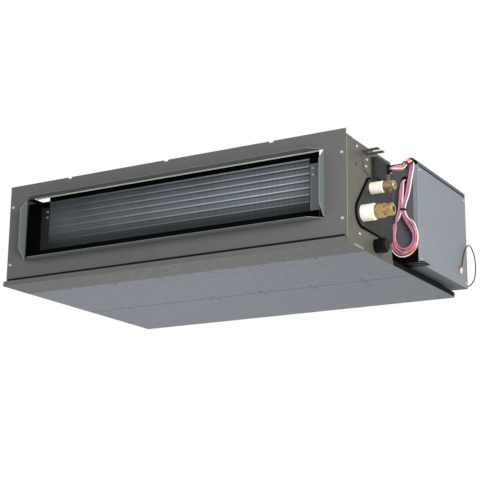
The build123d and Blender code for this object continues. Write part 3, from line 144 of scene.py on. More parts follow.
class CoilSettings(bpy.types.PropertyGroup):
    fin: colour("Fin", "Coated aluminium of the fins", "#8A949B")
    gap: colour("Gap", "Shade between the fins", "#495258")
    # Painted highlight on the ridges, and painted shade in the hollows below them
    ridge: colour("Ridge", "Bright pressed ridges along the tube rows", "#C4C9D0")
    hollow: colour("Hollow", "Shaded side of each ridge", "#434B51")
    pitch: size("Fin pitch", "Spacing of the fins, drawn coarser than the real one", 0.0032)
    thickness: size("Fin thickness", "Thickness of a fin's edge", 0.0014)
    copper: colour("Copper", "Tubes and pipes", "#B4714A")
    brass: colour("Brass", "Flare unions", "#B49A68")


class MouldingSettings(bpy.types.PropertyGroup):
    cover: colour("Cover", "ABS of the small cover over the sensor leads", "#2E3030")
    pan: colour("Pan", "Plastic of the drain pan and its socket", "#0A0B0B")
    wheel: colour("Wheel", "Nylon of the fan wheels", "#26272A")
    housing: colour("Housing", "ABS of the spiral housings", "#3E4043")
    # Painted shadows: this rubber also colours the dark strips under the flange, at the control box and in
    # the side's slot
    rubber: colour("Rubber", "Rubber of the grommets, the motor's rings and the seals", "#161617")
    stopper: colour("Stopper", "Rubber of the drain's stopper", "#232424")
    tie: colour("Tie", "Nylon of the cable ties", "#131314")
    connector: colour("Connector", "Nylon of the connector on the thin lead", "#DDD8CF")
    latch: colour("Latch", "Nylon of the latch on that connector", "#C23A34")
    # It also colours the strip of painted light at the slit over the coil
    white_foam: colour("White foam", "Foam of the pipe sleeves", "#F4F1E2")
    # It also colours the painted shadow on the box front and the painted shade at the coil's foot
    black_foam: colour("Black foam", "Foam round the outlet, the coil and the pipes", "#0C0E0D")
    filter: colour("Filter", "Nylon threads and frame of the air filter", "#3A3D42")
    sealant: colour("Sealant", "Bead along the lip", "#A9ABA6")


class ElectricsSettings(bpy.types.PropertyGroup):
    board: colour("Board", "Lacquer of the circuit board", "#2F6B3E")
    component: colour("Component", "Plastic of the components and the terminal block", "#232427")
    iron: colour("Iron", "Painted iron of the transformer", "#4A4B4D")
    enamel: colour("Enamel", "Black paint of the motor, the bracket and the clip", "#08090A")
    shaft: colour("Shaft", "Ground steel of the fan shaft", "#A8AAAC")


class CableSettings(bpy.types.PropertyGroup):
    diameter: size("Wire", "Diameter of one wire", 0.0029)
    lead_diameter: size("Thin lead", "Diameter of the lead at the rear", 0.003)
    pink: colour("Pink wire", "Insulation of the pink wires", "#E0808C")
    mauve: colour("Mauve wire", "Insulation of the mauve wires", "#A9799A")
    white: colour("White wire", "Insulation of the white wires", "#F4EEE6")
    orange: colour("Orange wire", "Insulation of the orange wires", "#D8502C")
    peach: colour("Peach wire", "Insulation of the peach wires", "#EBA878")
    black: colour("Black lead", "Insulation of the lead at the rear", "#191A1C")


class StageSettings(bpy.types.PropertyGroup):
    key: FloatProperty(name="Key", description="Power of the large lamp", unit="POWER", default=82)
    fill: FloatProperty(name="Fill", description="Power of the lamps on the other side and below",
                        unit="POWER", default=14)
    sky: FloatProperty(name="Sky", description="Strength of the world on matt surfaces", default=0.45)
    floor_drop: size("Floor drop", "Height of the underside over the floor", 1.0)
    lens: FloatProperty(name="Lens", description="Focal length in millimetres", default=96.153)


def add(tree, kind, inputs=None, **settings):
    """Add a node with its settings, its inputs taken from values or from other nodes' sockets."""
    made = tree.nodes.new(kind)
    for name, value in settings.items():
        setattr(made, name, value)
    for name, value in (inputs or {}).items():
        if isinstance(value, bpy.types.NodeSocket):
            tree.links.new(value, made.inputs[name])
        else:
            made.inputs[name].default_value = value
    return made


def surface(name):
    """New material with a cleared tree, and the place on the object that its patterns follow."""
    material = bpy.data.materials.new(name)
    material.use_nodes = True
    tree = material.node_tree
    tree.nodes.clear()
    return material, tree, add(tree, "ShaderNodeTexCoord").outputs["Object"]


def finished(material, shade, inputs):
    """Close a material with its shader, and give it the plain colour that solid views show."""
    shader = add(material.node_tree, "ShaderNodeBsdfPrincipled", inputs)
    add(material.node_tree, "ShaderNodeOutputMaterial", {"Surface": shader.outputs[0]})
    material.diffuse_color = (*shade[:3], 1)
    return material


def opaque(shade):
    """Four part colour of a three part setting."""
    return (*shade[:3], 1)


def darker(shade, share):
    """Colour brought down or up by a share."""
    return (*[min(1, part * share) for part in shade[:3]], 1)


def zinc_coated_steel(name, shade, spangle, contrast=1.0):
    """Hot-dip galvanised sheet: crystals that differ a little in tone, faint rolling lines, soft gloss."""
    material, tree, place = surface(name)
    crystals = add(tree, "ShaderNodeTexVoronoi", {"Vector": place, "Scale": 1 / spangle})
    tone = add(tree, "ShaderNodeSeparateColor", {"Color": crystals.outputs["Color"]})
    cloud = add(tree, "ShaderNodeTexNoise", {"Vector": place, "Scale": 6.0, "Detail": 4.0})
    # Rolling lines 1.5 mm apart run along the panels' width
    stretched = add(tree, "ShaderNodeMapping", {"Vector": place, "Scale": (4, 650, 650)})
    rolling = add(tree, "ShaderNodeTexNoise", {"Vector": stretched.outputs[0], "Scale": 1.0, "Detail": 2.0})
    share = add(tree, "ShaderNodeMath", {0: tone.outputs[0], 1: 0.3}, operation="MULTIPLY")
    clouded = add(tree, "ShaderNodeMath", {0: cloud.outputs[0], 1: 0.7, 2: share.outputs[0]},
                  operation="MULTIPLY_ADD")
    mixed = add(tree, "ShaderNodeMixRGB", {
        "Fac": clouded.outputs[0], "Color1": darker(shade, 1 - 0.08 * contrast),
        "Color2": darker(shade, 1 + 0.1 * contrast),
    })
    rough = add(tree, "ShaderNodeMapRange", {"Value": tone.outputs[1], "To Min": 0.4, "To Max": 0.5})
    bump = add(tree, "ShaderNodeBump", {"Height": rolling.outputs[0], "Strength": 0.03 * contrast,
                                        "Distance": 0.0005})
    return finished(material, shade, {
        "Base Color": mixed.outputs[0], "Metallic": 0.12, "Roughness": rough.outputs[0],
        "Specular IOR Level": 0.12, "Normal": bump.outputs[0],
    })


def painted_over(material, share, shade):
    """Lay a colour over a material's own one, by a share from nothing to all."""
    tree = material.node_tree
    shader = next(step for step in tree.nodes if step.type == "BSDF_PRINCIPLED")
    base = shader.inputs["Base Color"]
    plain = base.links[0].from_socket
    mixed = add(tree, "ShaderNodeMixRGB", {"Fac": share.outputs[0], "Color1": plain, "Color2": shade})
    tree.links.new(mixed.outputs[0], base)
    return material


def folded_flange_steel(name, shade, flap, spangle):
    """The same sheet where it's folded forward, with painted light: the flaps in front of the flange get a
    lighter copy of its zinc.
    """
    material = zinc_coated_steel(name, shade, spangle)
    tree = material.node_tree
    place = add(tree, "ShaderNodeTexCoord").outputs["Object"]
    apart = add(tree, "ShaderNodeSeparateXYZ", {"Vector": place})
    # Painted light on the flaps in front of the flange
    ahead = add(tree, "ShaderNodeMapRange", {"Value": apart.outputs["Y"], "From Min": FRONT - 0.0004,
                                             "From Max": FRONT - SHEET})
    return painted_over(material, ahead, opaque(flap))


def bottom_steel(name, shade, spangle):
    """The same sheet under the casing: a dark line at the seam, and painted shade in the dimples round the
    screws.
    """
    material = zinc_coated_steel(name, shade, spangle, contrast=0.4)
    tree = material.node_tree
    place = add(tree, "ShaderNodeTexCoord").outputs["Object"]
    apart = add(tree, "ShaderNodeSeparateXYZ", {"Vector": place})
    shifted = add(tree, "ShaderNodeMath", {0: apart.outputs["X"], 1: MARK_PITCH / 2}, operation="ADD")
    nearest = add(tree, "ShaderNodeMath", {0: shifted.outputs[0], 1: MARK_PITCH / 2}, operation="PINGPONG")
    column = add(tree, "ShaderNodeMath", {0: nearest.outputs[0], 1: MARK_RADIUS}, operation="LESS_THAN")
    depth = apart.outputs["Y"]
    dark = add(tree, "ShaderNodeMath", {0: depth, 1: SEAM, 2: SEAM_SHADE}, operation="COMPARE")
    # Painted shade in the dimples round the screws
    for row in MARK_ROWS:
        near = add(tree, "ShaderNodeMath", {0: depth, 1: row, 2: MARK_RADIUS}, operation="COMPARE")
        mark = add(tree, "ShaderNodeMath", {0: near.outputs[0], 1: column.outputs[0]}, operation="MULTIPLY")
        dark = add(tree, "ShaderNodeMath", {0: mark.outputs[0], 1: dark.outputs[0]}, operation="MAXIMUM")
    share = add(tree, "ShaderNodeMath", {0: dark.outputs[0], 1: 0.85}, operation="MULTIPLY")
    return painted_over(material, share, darker(shade, 0.1))


def bright_metal(name, shade):
    """Zinc plated screws and the ground steel shaft: bright and smooth, with slight stains."""
    material, tree, place = surface(name)
    stain = add(tree, "ShaderNodeTexNoise", {"Vector": place, "Scale": 400.0, "Detail": 2.0})
    mixed = add(tree, "ShaderNodeMixRGB", {"Fac": stain.outputs[0], "Color1": darker(shade, 0.8),
                                           "Color2": opaque(shade)})
    return finished(material, shade, {"Base Color": mixed.outputs[0], "Metallic": 0.9, "Roughness": 0.28})


def fin_stock(name, settings):
    """Coated aluminium fin stock seen edge on, with painted highlights on the pressed ridges along the tube
    rows.
    """
    material, tree, place = surface(name)
    apart = add(tree, "ShaderNodeSeparateXYZ", {"Vector": place})
    rows = add(tree, "ShaderNodeMath", {0: apart.outputs["Z"], 1: RIDGE_LOWEST - RIDGE_HEIGHT / 2},
               operation="SUBTRACT")
    turns = add(tree, "ShaderNodeMath", {0: rows.outputs[0], 1: 1 / RIDGE_PITCH}, operation="MULTIPLY")
    phase = add(tree, "ShaderNodeMath", {0: turns.outputs[0]}, operation="FRACT")
    # Each ridge gets a painted highlight, and the fins fall into its painted shade before the next one
    ridge = add(tree, "ShaderNodeValToRGB", {"Fac": phase.outputs[0]})
    ridge.color_ramp.elements[0].color = opaque(settings.ridge)
    ridge.color_ramp.elements[1].color = opaque(settings.hollow)
    for stop, shade in (
        (0.18, settings.ridge), (0.24, settings.fin), (0.7, settings.fin), (0.84, settings.hollow),
    ):
        ridge.color_ramp.elements.new(stop).color = opaque(shade)
    # Painted shade darkens the fins towards the left end, with specks of dust on top
    speck = add(tree, "ShaderNodeTexNoise", {"Vector": place, "Scale": 14.0, "Detail": 5.0})
    end = add(tree, "ShaderNodeMapRange", {"Value": apart.outputs["X"], "From Min": 0.25, "From Max": -0.45,
                                           "To Max": 1.0})
    left_shade_and_dust = add(tree, "ShaderNodeMath", {0: speck.outputs[0], 1: 0.35, 2: end.outputs[0]},
               operation="MULTIPLY_ADD", use_clamp=True)
    left_shade_and_dust_mixed = add(tree, "ShaderNodeMixRGB", {"Fac": left_shade_and_dust.outputs[0], "Color1": ridge.outputs[0],
                                           "Color2": darker(settings.fin, 0.42)})
    # Painted shade: the foot of the coil is darkened towards its bottom
    foot = add(tree, "ShaderNodeMapRange", {"Value": apart.outputs["Z"], "From Min": FOOT_SHADE_LOW,
                                            "From Max": FOOT_SHADE_HIGH})
    mixed = add(tree, "ShaderNodeMixRGB", {"Fac": foot.outputs[0], "Color1": darker(settings.fin, 0.12),
                                           "Color2": left_shade_and_dust_mixed.outputs[0]})
    return finished(material, settings.fin, {"Base Color": mixed.outputs[0], "Metallic": 0.3,
                                             "Roughness": 0.5})


def fin_depth_shade(name, shade):
    """Painted shade of the fin pack behind the drawn edges, with upright lighter and darker lines about 3 mm
    apart that give it depth.
    """
    material, tree, place = surface(name)
    lines = add(tree, "ShaderNodeTexWave", {"Vector": place, "Scale": 100.0, "Distortion": 0.0},
                bands_direction="X")
    pack = add(tree, "ShaderNodeMixRGB", {"Fac": lines.outputs[0], "Color1": darker(shade, 0.6),
                                          "Color2": darker(shade, 1.6)})
    apart = add(tree, "ShaderNodeSeparateXYZ", {"Vector": place})
    # Painted shade darkens the foot of the pack, as on the edges
    foot = add(tree, "ShaderNodeMapRange", {"Value": apart.outputs["Z"], "From Min": FOOT_SHADE_LOW,
                                            "From Max": FOOT_SHADE_HIGH})
    mixed = add(tree, "ShaderNodeMixRGB", {"Fac": foot.outputs[0], "Color1": darker(shade, 0.1),
                                           "Color2": pack.outputs[0]})
    return finished(material, shade, {"Base Color": mixed.outputs[0], "Metallic": 0.4, "Roughness": 0.6})


def drawn_copper(name, shade):
    """Drawn copper tube: warm, with drawing lines and patches that have turned darker."""
    material, tree, place = surface(name)
    patch = add(tree, "ShaderNodeTexNoise", {"Vector": place, "Scale": 45.0, "Detail": 5.0})
    mixed = add(tree, "ShaderNodeMixRGB", {"Fac": patch.outputs[0], "Color1": darker(shade, 0.55),
                                           "Color2": darker(shade, 1.25)})
    rough = add(tree, "ShaderNodeMapRange", {"Value": patch.outputs[0], "To Min": 0.25, "To Max": 0.5})
    return finished(material, shade, {"Base Color": mixed.outputs[0], "Metallic": 0.9,
                                      "Roughness": rough.outputs[0]})


def turned_brass(name, shade):
    """Brass turned on a lathe: rings 1.4 mm apart, coarser than the real ones, and a soft sheen."""
    material, tree, place = surface(name)
    rings = add(tree, "ShaderNodeTexWave", {"Vector": place, "Scale": 220.0, "Distortion": 0.4},
                bands_direction="X")
    patch = add(tree, "ShaderNodeTexNoise", {"Vector": place, "Scale": 90.0, "Detail": 3.0})
    mixed = add(tree, "ShaderNodeMixRGB", {"Fac": patch.outputs[0], "Color1": darker(shade, 0.75),
                                           "Color2": darker(shade, 1.2)})
    bump = add(tree, "ShaderNodeBump", {"Height": rings.outputs[0], "Strength": 0.15, "Distance": 0.0003})
    return finished(material, shade, {"Base Color": mixed.outputs[0], "Metallic": 0.85, "Roughness": 0.34,
                                      "Normal": bump.outputs[0]})


def closed_cell_foam(name, shade, cell, roughness):
    """Polyethylene or rubber foam: small cells under a dull skin."""
    material, tree, place = surface(name)
    cells = add(tree, "ShaderNodeTexVoronoi", {"Vector": place, "Scale": 1 / cell})
    soft = add(tree, "ShaderNodeTexNoise", {"Vector": place, "Scale": 40.0, "Detail": 4.0})
    mixed = add(tree, "ShaderNodeMixRGB", {"Fac": soft.outputs[0], "Color1": darker(shade, 0.9),
                                           "Color2": darker(shade, 1.08)})
    bump = add(tree, "ShaderNodeBump", {"Height": cells.outputs["Distance"], "Strength": 0.35,
                                        "Distance": 0.0006})
    return finished(material, shade, {"Base Color": mixed.outputs[0], "Roughness": roughness,
                                      "Specular IOR Level": 0.0, "Normal": bump.outputs[0]})


def moulded_plastic(name, shade, roughness, grain):
    """Moulded ABS, nylon and rubber, and the bead of sealant: a fine grain that breaks up the highlight."""
    material, tree, place = surface(name)
    speckle = add(tree, "ShaderNodeTexNoise", {"Vector": place, "Scale": 1 / grain, "Detail": 3.0})
    wear = add(tree, "ShaderNodeTexNoise", {"Vector": place, "Scale": 12.0, "Detail": 4.0})
    mixed = add(tree, "ShaderNodeMixRGB", {"Fac": wear.outputs[0], "Color1": darker(shade, 0.88),
                                           "Color2": darker(shade, 1.12)})
    bump = add(tree, "ShaderNodeBump", {"Height": speckle.outputs[0], "Strength": 0.2, "Distance": 0.0002})
    return finished(material, shade, {"Base Color": mixed.outputs[0], "Roughness": roughness,
                                      "Specular IOR Level": 0.08, "Normal": bump.outputs[0]})


def stove_enamel(name, shade):
    """Stoved paint on pressed steel and on the transformer's iron, with slight orange peel."""
    material, tree, place = surface(name)
    peel = add(tree, "ShaderNodeTexNoise", {"Vector": place, "Scale": 900.0, "Detail": 1.0})
    scuff = add(tree, "ShaderNodeTexNoise", {"Vector": place, "Scale": 60.0, "Detail": 6.0})
    mixed = add(tree, "ShaderNodeMixRGB", {"Fac": scuff.outputs[0], "Color1": darker(shade, 0.8),
                                           "Color2": darker(shade, 1.6)})
    bump = add(tree, "ShaderNodeBump", {"Height": peel.outputs[0], "Strength": 0.12, "Distance": 0.0003})
    return finished(material, shade, {"Base Color": mixed.outputs[0], "Roughness": 0.38,
                                      "Specular IOR Level": 0.08, "Normal": bump.outputs[0]})


def woven_filter_mesh(name, shade):
    """Nylon filter: threads that cross every 5 mm, where the real 1 mm wouldn't show."""
    material, tree, place = surface(name)
    warp = add(tree, "ShaderNodeTexWave", {"Vector": place, "Scale": 64.0}, bands_direction="X")
    weft = add(tree, "ShaderNodeTexWave", {"Vector": place, "Scale": 64.0}, bands_direction="Z")
    woven = add(tree, "ShaderNodeMath", {0: warp.outputs[1], 1: weft.outputs[1]}, operation="MAXIMUM")
    mixed = add(tree, "ShaderNodeMixRGB", {"Fac": woven.outputs[0], "Color1": darker(shade, 0.3),
                                           "Color2": darker(shade, 1.5)})
    bump = add(tree, "ShaderNodeBump", {"Height": woven.outputs[0], "Strength": 0.4, "Distance": 0.0004})
    return finished(material, shade, {"Base Color": mixed.outputs[0], "Roughness": 0.6,
                                      "Normal": bump.outputs[0]})


def glass_cloth_board(name, shade):
    """Circuit board: green lacquer over glass cloth, with copper tracks showing as lighter bands."""
    material, tree, place = surface(name)
    tracks = add(tree, "ShaderNodeTexBrick", {
        "Vector": place, "Scale": 60.0, "Color1": opaque(shade), "Color2": darker(shade, 0.8),
        "Mortar": darker(shade, 1.9), "Mortar Size": 0.03,
    })
    return finished(material, shade, {"Base Color": tracks.outputs[0], "Roughness": 0.3})


def wire_insulation(name, shade):
    """PVC on a wire, and the nylon latch: slightly waxy, with small scuffs."""
    material, tree, place = surface(name)
    scuff = add(tree, "ShaderNodeTexNoise", {"Vector": place, "Scale": 120.0, "Detail": 3.0})
    mixed = add(tree, "ShaderNodeMixRGB", {"Fac": scuff.outputs[0], "Color1": darker(shade, 0.85),
                                           "Color2": darker(shade, 1.08)})
    return finished(material, shade, {"Base Color": mixed.outputs[0], "Roughness": 0.42})


def dress(material, *names):
    """Give CAD nodes their finish."""
    for name in names:
        mesh = NODES[name].data
        mesh.materials.clear()
        mesh.materials.append(material)


def piece_from(form, name, material, smooth=False):
    """Object from a bmesh, dressed and riding on the casing."""
    bmesh.ops.recalc_face_normals(form, faces=form.faces)
    mesh = bpy.data.meshes.new(name)
    form.to_mesh(mesh)
    form.free()
    for face in mesh.polygons:
        face.use_smooth = smooth
    mesh.materials.append(material)
    made = bpy.data.objects.new(name, mesh)
    bpy.context.scene.collection.objects.link(made)
    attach(made, "casing")
    return made


def looking(place, direction):
    """Matrix that puts something made on the origin at a place, its top in this direction."""
    turn = Vector((0, 0, 1)).rotation_difference(Vector(direction))
    return Matrix.Translation(Vector(place)) @ turn.to_matrix().to_4x4()


def bar(form, low, high):
    """Add a square-edged bar between two corners to a bmesh."""
    low = Vector(low)
    high = Vector(high)
    place = Matrix.Translation((low + high) / 2) @ Matrix.Diagonal((*(high - low), 1))
    return bmesh.ops.create_cube(form, size=1, matrix=place)["verts"]


def bars(name, finish, corners):
    """Group of square-edged bars as one piece, in a finish that exists."""
    form = bmesh.new()
    for low, high in corners:
        bar(form, low, high)
    return piece_from(form, name, bpy.data.materials[finish])


def strip(form, start, end, width, thickness):
    """Add a flat strip from one place to another, its thickness along X."""
    start, end = Vector(start), Vector(end)
    run = end - start
    turn = Vector((0, 0, 1)).rotation_difference(run).to_matrix().to_4x4()
    place = Matrix.Translation((start + end) / 2) @ turn @ Matrix.Diagonal((thickness, width, run.length, 1))
    bmesh.ops.create_cube(form, size=1, matrix=place)


def add_screw(form, place, direction, radius, height):
    """Add one pan head screw with a rounded rim and a driver recess."""
    matrix = looking(place, direction)
    lift = matrix @ Matrix.Translation((0, 0, height / 2))
    made = bmesh.ops.create_cone(form, segments=SCREW_SIDES, radius1=radius, radius2=radius * 0.9,
                                 depth=height, cap_ends=True, matrix=lift)["verts"]
    upward = (matrix.to_3x3() @ Vector((0, 0, 1))).normalized()
    faces = {face for vert in made for face in vert.link_faces}
    for face in faces:
        face.normal_update()
    crown = next(face for face in faces if len(face.verts) == SCREW_SIDES and face.normal.dot(upward) > 0.9)
    bmesh.ops.bevel(form, geom=list(crown.edges), offset=height * 0.35, segments=2, profile=0.5,
                    affect="EDGES", material=-1)
    top = max((face for face in form.faces if face.normal.dot(upward) > 0.9 and
               (face.calc_center_median() - lift.translation).length < radius),
              key=lambda face: (face.calc_center_median() - lift.translation).dot(upward))
    bmesh.ops.inset_region(form, faces=[top], thickness=radius * 0.42)
    bmesh.ops.translate(form, verts=top.verts, vec=-upward * height * 0.45)


def screws(name, places, radius=0.0042, height=0.0019):
    """Group of like screws as one piece."""
    form = bmesh.new()
    for place, direction in places:
        add_screw(form, place, direction, radius, height)
    return piece_from(form, name, bpy.data.materials["bright_zinc"])


class AIRCON_OT_camera(bpy.types.Operator):
    """Set the camera where the photograph was taken, below and to the right of the outlet"""
    bl_idname = "aircon.camera"
    bl_label = "Camera"

    def execute(self, context):
        made = bpy.data.cameras.new("camera")
        made.sensor_width = 36
        made.lens = context.scene.aircon_stage.lens
        made.clip_start = 0.1
        made.clip_end = 50
        camera = bpy.data.objects.new("camera", made)
        context.scene.collection.objects.link(camera)
        yaw, pitch, roll = (math.radians(angle) for angle in CAMERA_TURNS)
        ahead = Vector((-math.sin(yaw) * math.cos(pitch), math.cos(yaw) * math.cos(pitch), math.sin(pitch)))
        level = Vector((math.cos(yaw), math.sin(yaw), 0))
        upright = level.cross(ahead)
        right = math.cos(roll) * level + math.sin(roll) * upright
        up = math.cos(roll) * upright - math.sin(roll) * level
        turn = Matrix((right, up, -ahead)).transposed().to_4x4()
        camera.matrix_world = Matrix.Translation(CAMERA_PLACE) @ turn
        context.scene.camera = camera
        return {"FINISHED"}


# Route of the cable bundle: out of the casing, down the corner of the box, round its loop and up
# to the grommet in the box
HARNESS_ROUTE = [
    (0.4850, -0.0985, 0.2280),
    (0.5010, -0.0915, 0.2290),
    (0.5020, -0.0635, 0.2370),
    (0.5050, -0.0435, 0.2620),
    (0.5070, -0.0145, 0.2650),
    (0.4965, -0.0115, 0.2260),
    (0.4895, -0.0115, 0.1880),
    (0.4800, -0.0130, 0.1630),
    (0.4780, -0.0135, 0.1460),
    (0.4850, -0.0135, 0.1280),
    (0.5000, -0.0135, 0.1100),
    (0.5110, -0.0135, 0.0820),
    (0.5040, -0.0135, 0.0540),
    (0.4820, -0.0135, 0.0400),
    (0.4590, -0.0135, 0.0500),
    (0.4480, -0.0135, 0.0780),
    (0.4520, -0.0135, 0.1080),
    (0.4620, -0.0135, 0.1280),
    (0.4705, -0.0135, 0.1500),
    (0.4725, -0.0135, 0.1750),
    (0.4750, -0.0125, 0.2040),
    (0.4770, -0.0105, 0.2240),
    (0.4783, 0.0005, 0.2280),
]

# Colours of the wires, from the middle of the bundle outwards
WIRES = (
    "white", "pink", "mauve", "peach", "pink", "orange", "white", "mauve", "orange", "peach", "mauve", "pink",
    "pink", "white",
)
BUNDLE_SPREAD = 0.0050
LOOP_SPREAD = 0.0096
LOOP_WANDER = 0.0028
LOOP_TUCK = 0.0012
LOOP_MIDDLE = Vector((0.4805, 0, 0.088))
# Points of the route where the bundle turns down, its loop begins and ends, and the grommet gathers it
TRUNK_CORNER = 4
LOOP_START = 9
LOOP_STOP = 17
GROMMET_START = 20
# Turn from one wire to the next, in radians, which spreads them evenly over the bundle
GOLDEN_ANGLE = 2.4


def cable(name, points, diameter, material):
    """Round cable on one smooth line through the region of its points."""
    line = bpy.data.curves.new(name, "CURVE")
    line.dimensions = "3D"
    line.bevel_depth = diameter / 2
    line.bevel_resolution = 3
    line.resolution_u = 8
    line.use_fill_caps = True
    spline = line.splines.new("NURBS")
    spline.points.add(len(points) - 1)
    for point, place in zip(spline.points, points):
        point.co = (*place, 1)
    spline.order_u = 3
    spline.use_endpoint_u = True
    line.materials.append(material)
    made = bpy.data.objects.new(name, line)
    bpy.context.scene.collection.objects.link(made)
    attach(made, "casing")
    return made


def wire_shift(index, step, place):
    """Way of one wire from the middle of the bundle, at one point of its route."""
    reach = math.sqrt((index + 0.5) / len(WIRES))
    across = reach * math.cos(index * GOLDEN_ANGLE)
    along = reach * math.sin(index * GOLDEN_ANGLE)
    shift = Vector((across, along * 0.55, along * 0.55)) * BUNDLE_SPREAD
    # On its way to the corner the bundle is narrow and tall
    if 0 < step < TRUNK_CORNER:
        shift = Vector((across * 0.6, 0, along * 1.3)) * BUNDLE_SPREAD
    # The loop spreads in its own plane, where each wire wanders
    if LOOP_START < step < LOOP_STOP:
        outward = place - LOOP_MIDDLE
        outward.y = 0
        wander = LOOP_WANDER * math.sin(1.3 * step + 2.1 * index)
        shift = outward.normalized() * (across * LOOP_SPREAD + wander - LOOP_TUCK)
        shift += Vector((0, along * BUNDLE_SPREAD, 0))
    if step > GROMMET_START:
        shift *= 0.5
    return shift


class AIRCON_OT_harness(bpy.types.Operator):
    """Lay the separate wires of the bundle, with their loop below the tie"""
    bl_idname = "aircon.harness"
    bl_label = "Cable bundle"

    def execute(self, context):
        settings = context.scene.aircon_cables
        finishes = {}
        for index, tone in enumerate(WIRES):
            if tone not in finishes:
                finishes[tone] = wire_insulation(f"{tone}_pvc", getattr(settings, tone))
            points = []
            for step, place in enumerate(map(Vector, HARNESS_ROUTE)):
                points.append(place + wire_shift(index, step, place))
            wire = cable(f"wire_{index + 1}_{tone}", points, settings.diameter, finishes[tone])
        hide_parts("harness_trunk", "harness_loop")
        return {"FINISHED"}


# Route of the thin lead: out of the rear of the box, over in an arc and down to its connector
LEAD_ROUTE = [
    (0.4880, 0.3180, 0.0270),
    (0.4890, 0.3315, 0.0270),
    (0.5040, 0.3475, 0.0310),
    (0.5160, 0.3565, 0.0490),
    (0.5200, 0.3575, 0.0760),
    (0.5200, 0.3555, 0.1020),
    (0.5180, 0.3465, 0.1250),
    (0.5165, 0.3285, 0.1370),
    (0.5160, 0.3085, 0.1300),
    (0.5160, 0.2895, 0.1110),
    (0.5160, 0.2745, 0.0870),
    (0.5160, 0.2645, 0.0610),
]
LATCH = ((0.5136, 0.2580, 0.0625), (0.5184, 0.2660, 0.0660))


class AIRCON_OT_lead(bpy.types.Operator):
    """Lay the thin lead that leaves the rear of the box and ends in its connector"""
    bl_idname = "aircon.lead"
    bl_label = "Thin lead"

    def execute(self, context):
        settings = context.scene.aircon_cables
        finish = wire_insulation("black_pvc", settings.black)
        lead = cable("sensor_lead", LEAD_ROUTE, settings.lead_diameter, finish)
        red = wire_insulation("red_nylon", context.scene.aircon_mouldings.latch)
        form = bmesh.new()
        bar(form, *LATCH)
        latch = piece_from(form, "lead_latch", red)
        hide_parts("tether_lead")
        return {"FINISHED"}


class AIRCON_OT_sheet_metal(bpy.types.Operator):
    """Finish the folded panels, rails, brackets and the control box"""
    bl_idname = "aircon.sheet_metal"
    bl_label = "Sheet metal"

    def execute(self, context):
        settings = context.scene.aircon_sheet
        flange = folded_flange_steel("galvanised_flange", settings.zinc, settings.flap, settings.spangle)
        plain = zinc_coated_steel("galvanised_sheet", settings.zinc, settings.spangle)
        side = zinc_coated_steel("galvanised_side", settings.zinc_side, settings.spangle)
        under = bottom_steel("galvanised_under", settings.zinc_under, settings.spangle)
        plate = zinc_coated_steel("galvanised_plate", settings.zinc_plate, settings.spangle)
        cover = zinc_coated_steel("galvanised_cover", settings.zinc_box, settings.spangle, contrast=0.4)
        # Painted shade: the box body takes the cover's steel at 0.45, for its faces that stand in shade
        box = zinc_coated_steel("galvanised_box", darker(settings.zinc_box, 0.45), settings.spangle)
        bright_metal("bright_zinc", settings.screw)
        dress(flange, "outlet_flange")
        dress(plain, "top_front_rail", "bottom_front_rail", "top_panel", "cross_rail", "rear_inlet_frame",
              "fan_partition", "rear_hanger_left", "rear_hanger_right", "motor_bracket", "motor_straps")
        dress(side, "left_side_panel", "right_side_panel", "front_hanger_left", "front_hanger_right")
        # Painted shade: the left coil plate takes the dark pipe-plate steel, as the flange shades it
        dress(plate, "pipe_cover_plate", "coil_left_plate")
        dress(under, "bottom_front_panel", "bottom_rear_panel")
        dress(box, "control_box")
        # Painted light: the right coil plate takes the lighter box-cover steel
        dress(cover, "control_box_cover", "coil_right_plate")
        # Painted highlights: hems along the flaps' free edges in the lighter cover steel
        form = bmesh.new()
        for x in (-FLAP_EDGE, FLAP_EDGE):
            hem = [(x, FRONT - reach, z) for reach, z in FLAP_HEM]
            for start, end in zip(hem, hem[1:]):
                strip(form, start, end, HEM_WIDTH, HEM_THICKNESS)
        piece_from(form, "flap_hems", cover)
        enamel = stove_enamel("black_enamel", context.scene.aircon_electrics.enamel)
        dress(enamel, "lower_bracket", "harness_clip", "fan_motor")
        return {"FINISHED"}


class AIRCON_OT_mouldings(bpy.types.Operator):
    """Finish the plastic, rubber and foam parts"""
    bl_idname = "aircon.mouldings"
    bl_label = "Mouldings"

    def execute(self, context):
        settings = context.scene.aircon_mouldings
        dress(moulded_plastic("grey_abs", settings.cover, 0.55, 0.0016), "service_cover")
        dress(moulded_plastic("black_pan", settings.pan, 0.6, 0.0025), "drain_pan", "drain_socket")
        dress(moulded_plastic("fan_nylon", settings.wheel, 0.5, 0.0015), "left_fan_wheel", "right_fan_wheel")
        dress(moulded_plastic("housing_abs", settings.housing, 0.55, 0.002), "left_scroll_upper",
              "left_scroll_lower", "right_scroll_upper", "right_scroll_lower")
        dress(moulded_plastic("soft_black_rubber", settings.rubber, 0.7, 0.001), "harness_grommet",
              "box_grommets", "motor_rings")
        dress(moulded_plastic("grey_rubber", settings.stopper, 0.65, 0.001), "drain_plug")
        dress(moulded_plastic("black_nylon", settings.tie, 0.45, 0.001), "harness_ties")
        dress(moulded_plastic("white_nylon", settings.connector, 0.45, 0.001), "lead_connector")
        dress(closed_cell_foam("white_foam_skin", settings.white_foam, 0.002, 0.85), "gas_sleeve",
              "liquid_sleeve")
        dress(closed_cell_foam("black_foam_skin", settings.black_foam, 0.0018, 0.95), "outlet_foam",
              "pipe_gasket")
        dress(woven_filter_mesh("filter_nylon", settings.filter), "air_filter")
        return {"FINISHED"}


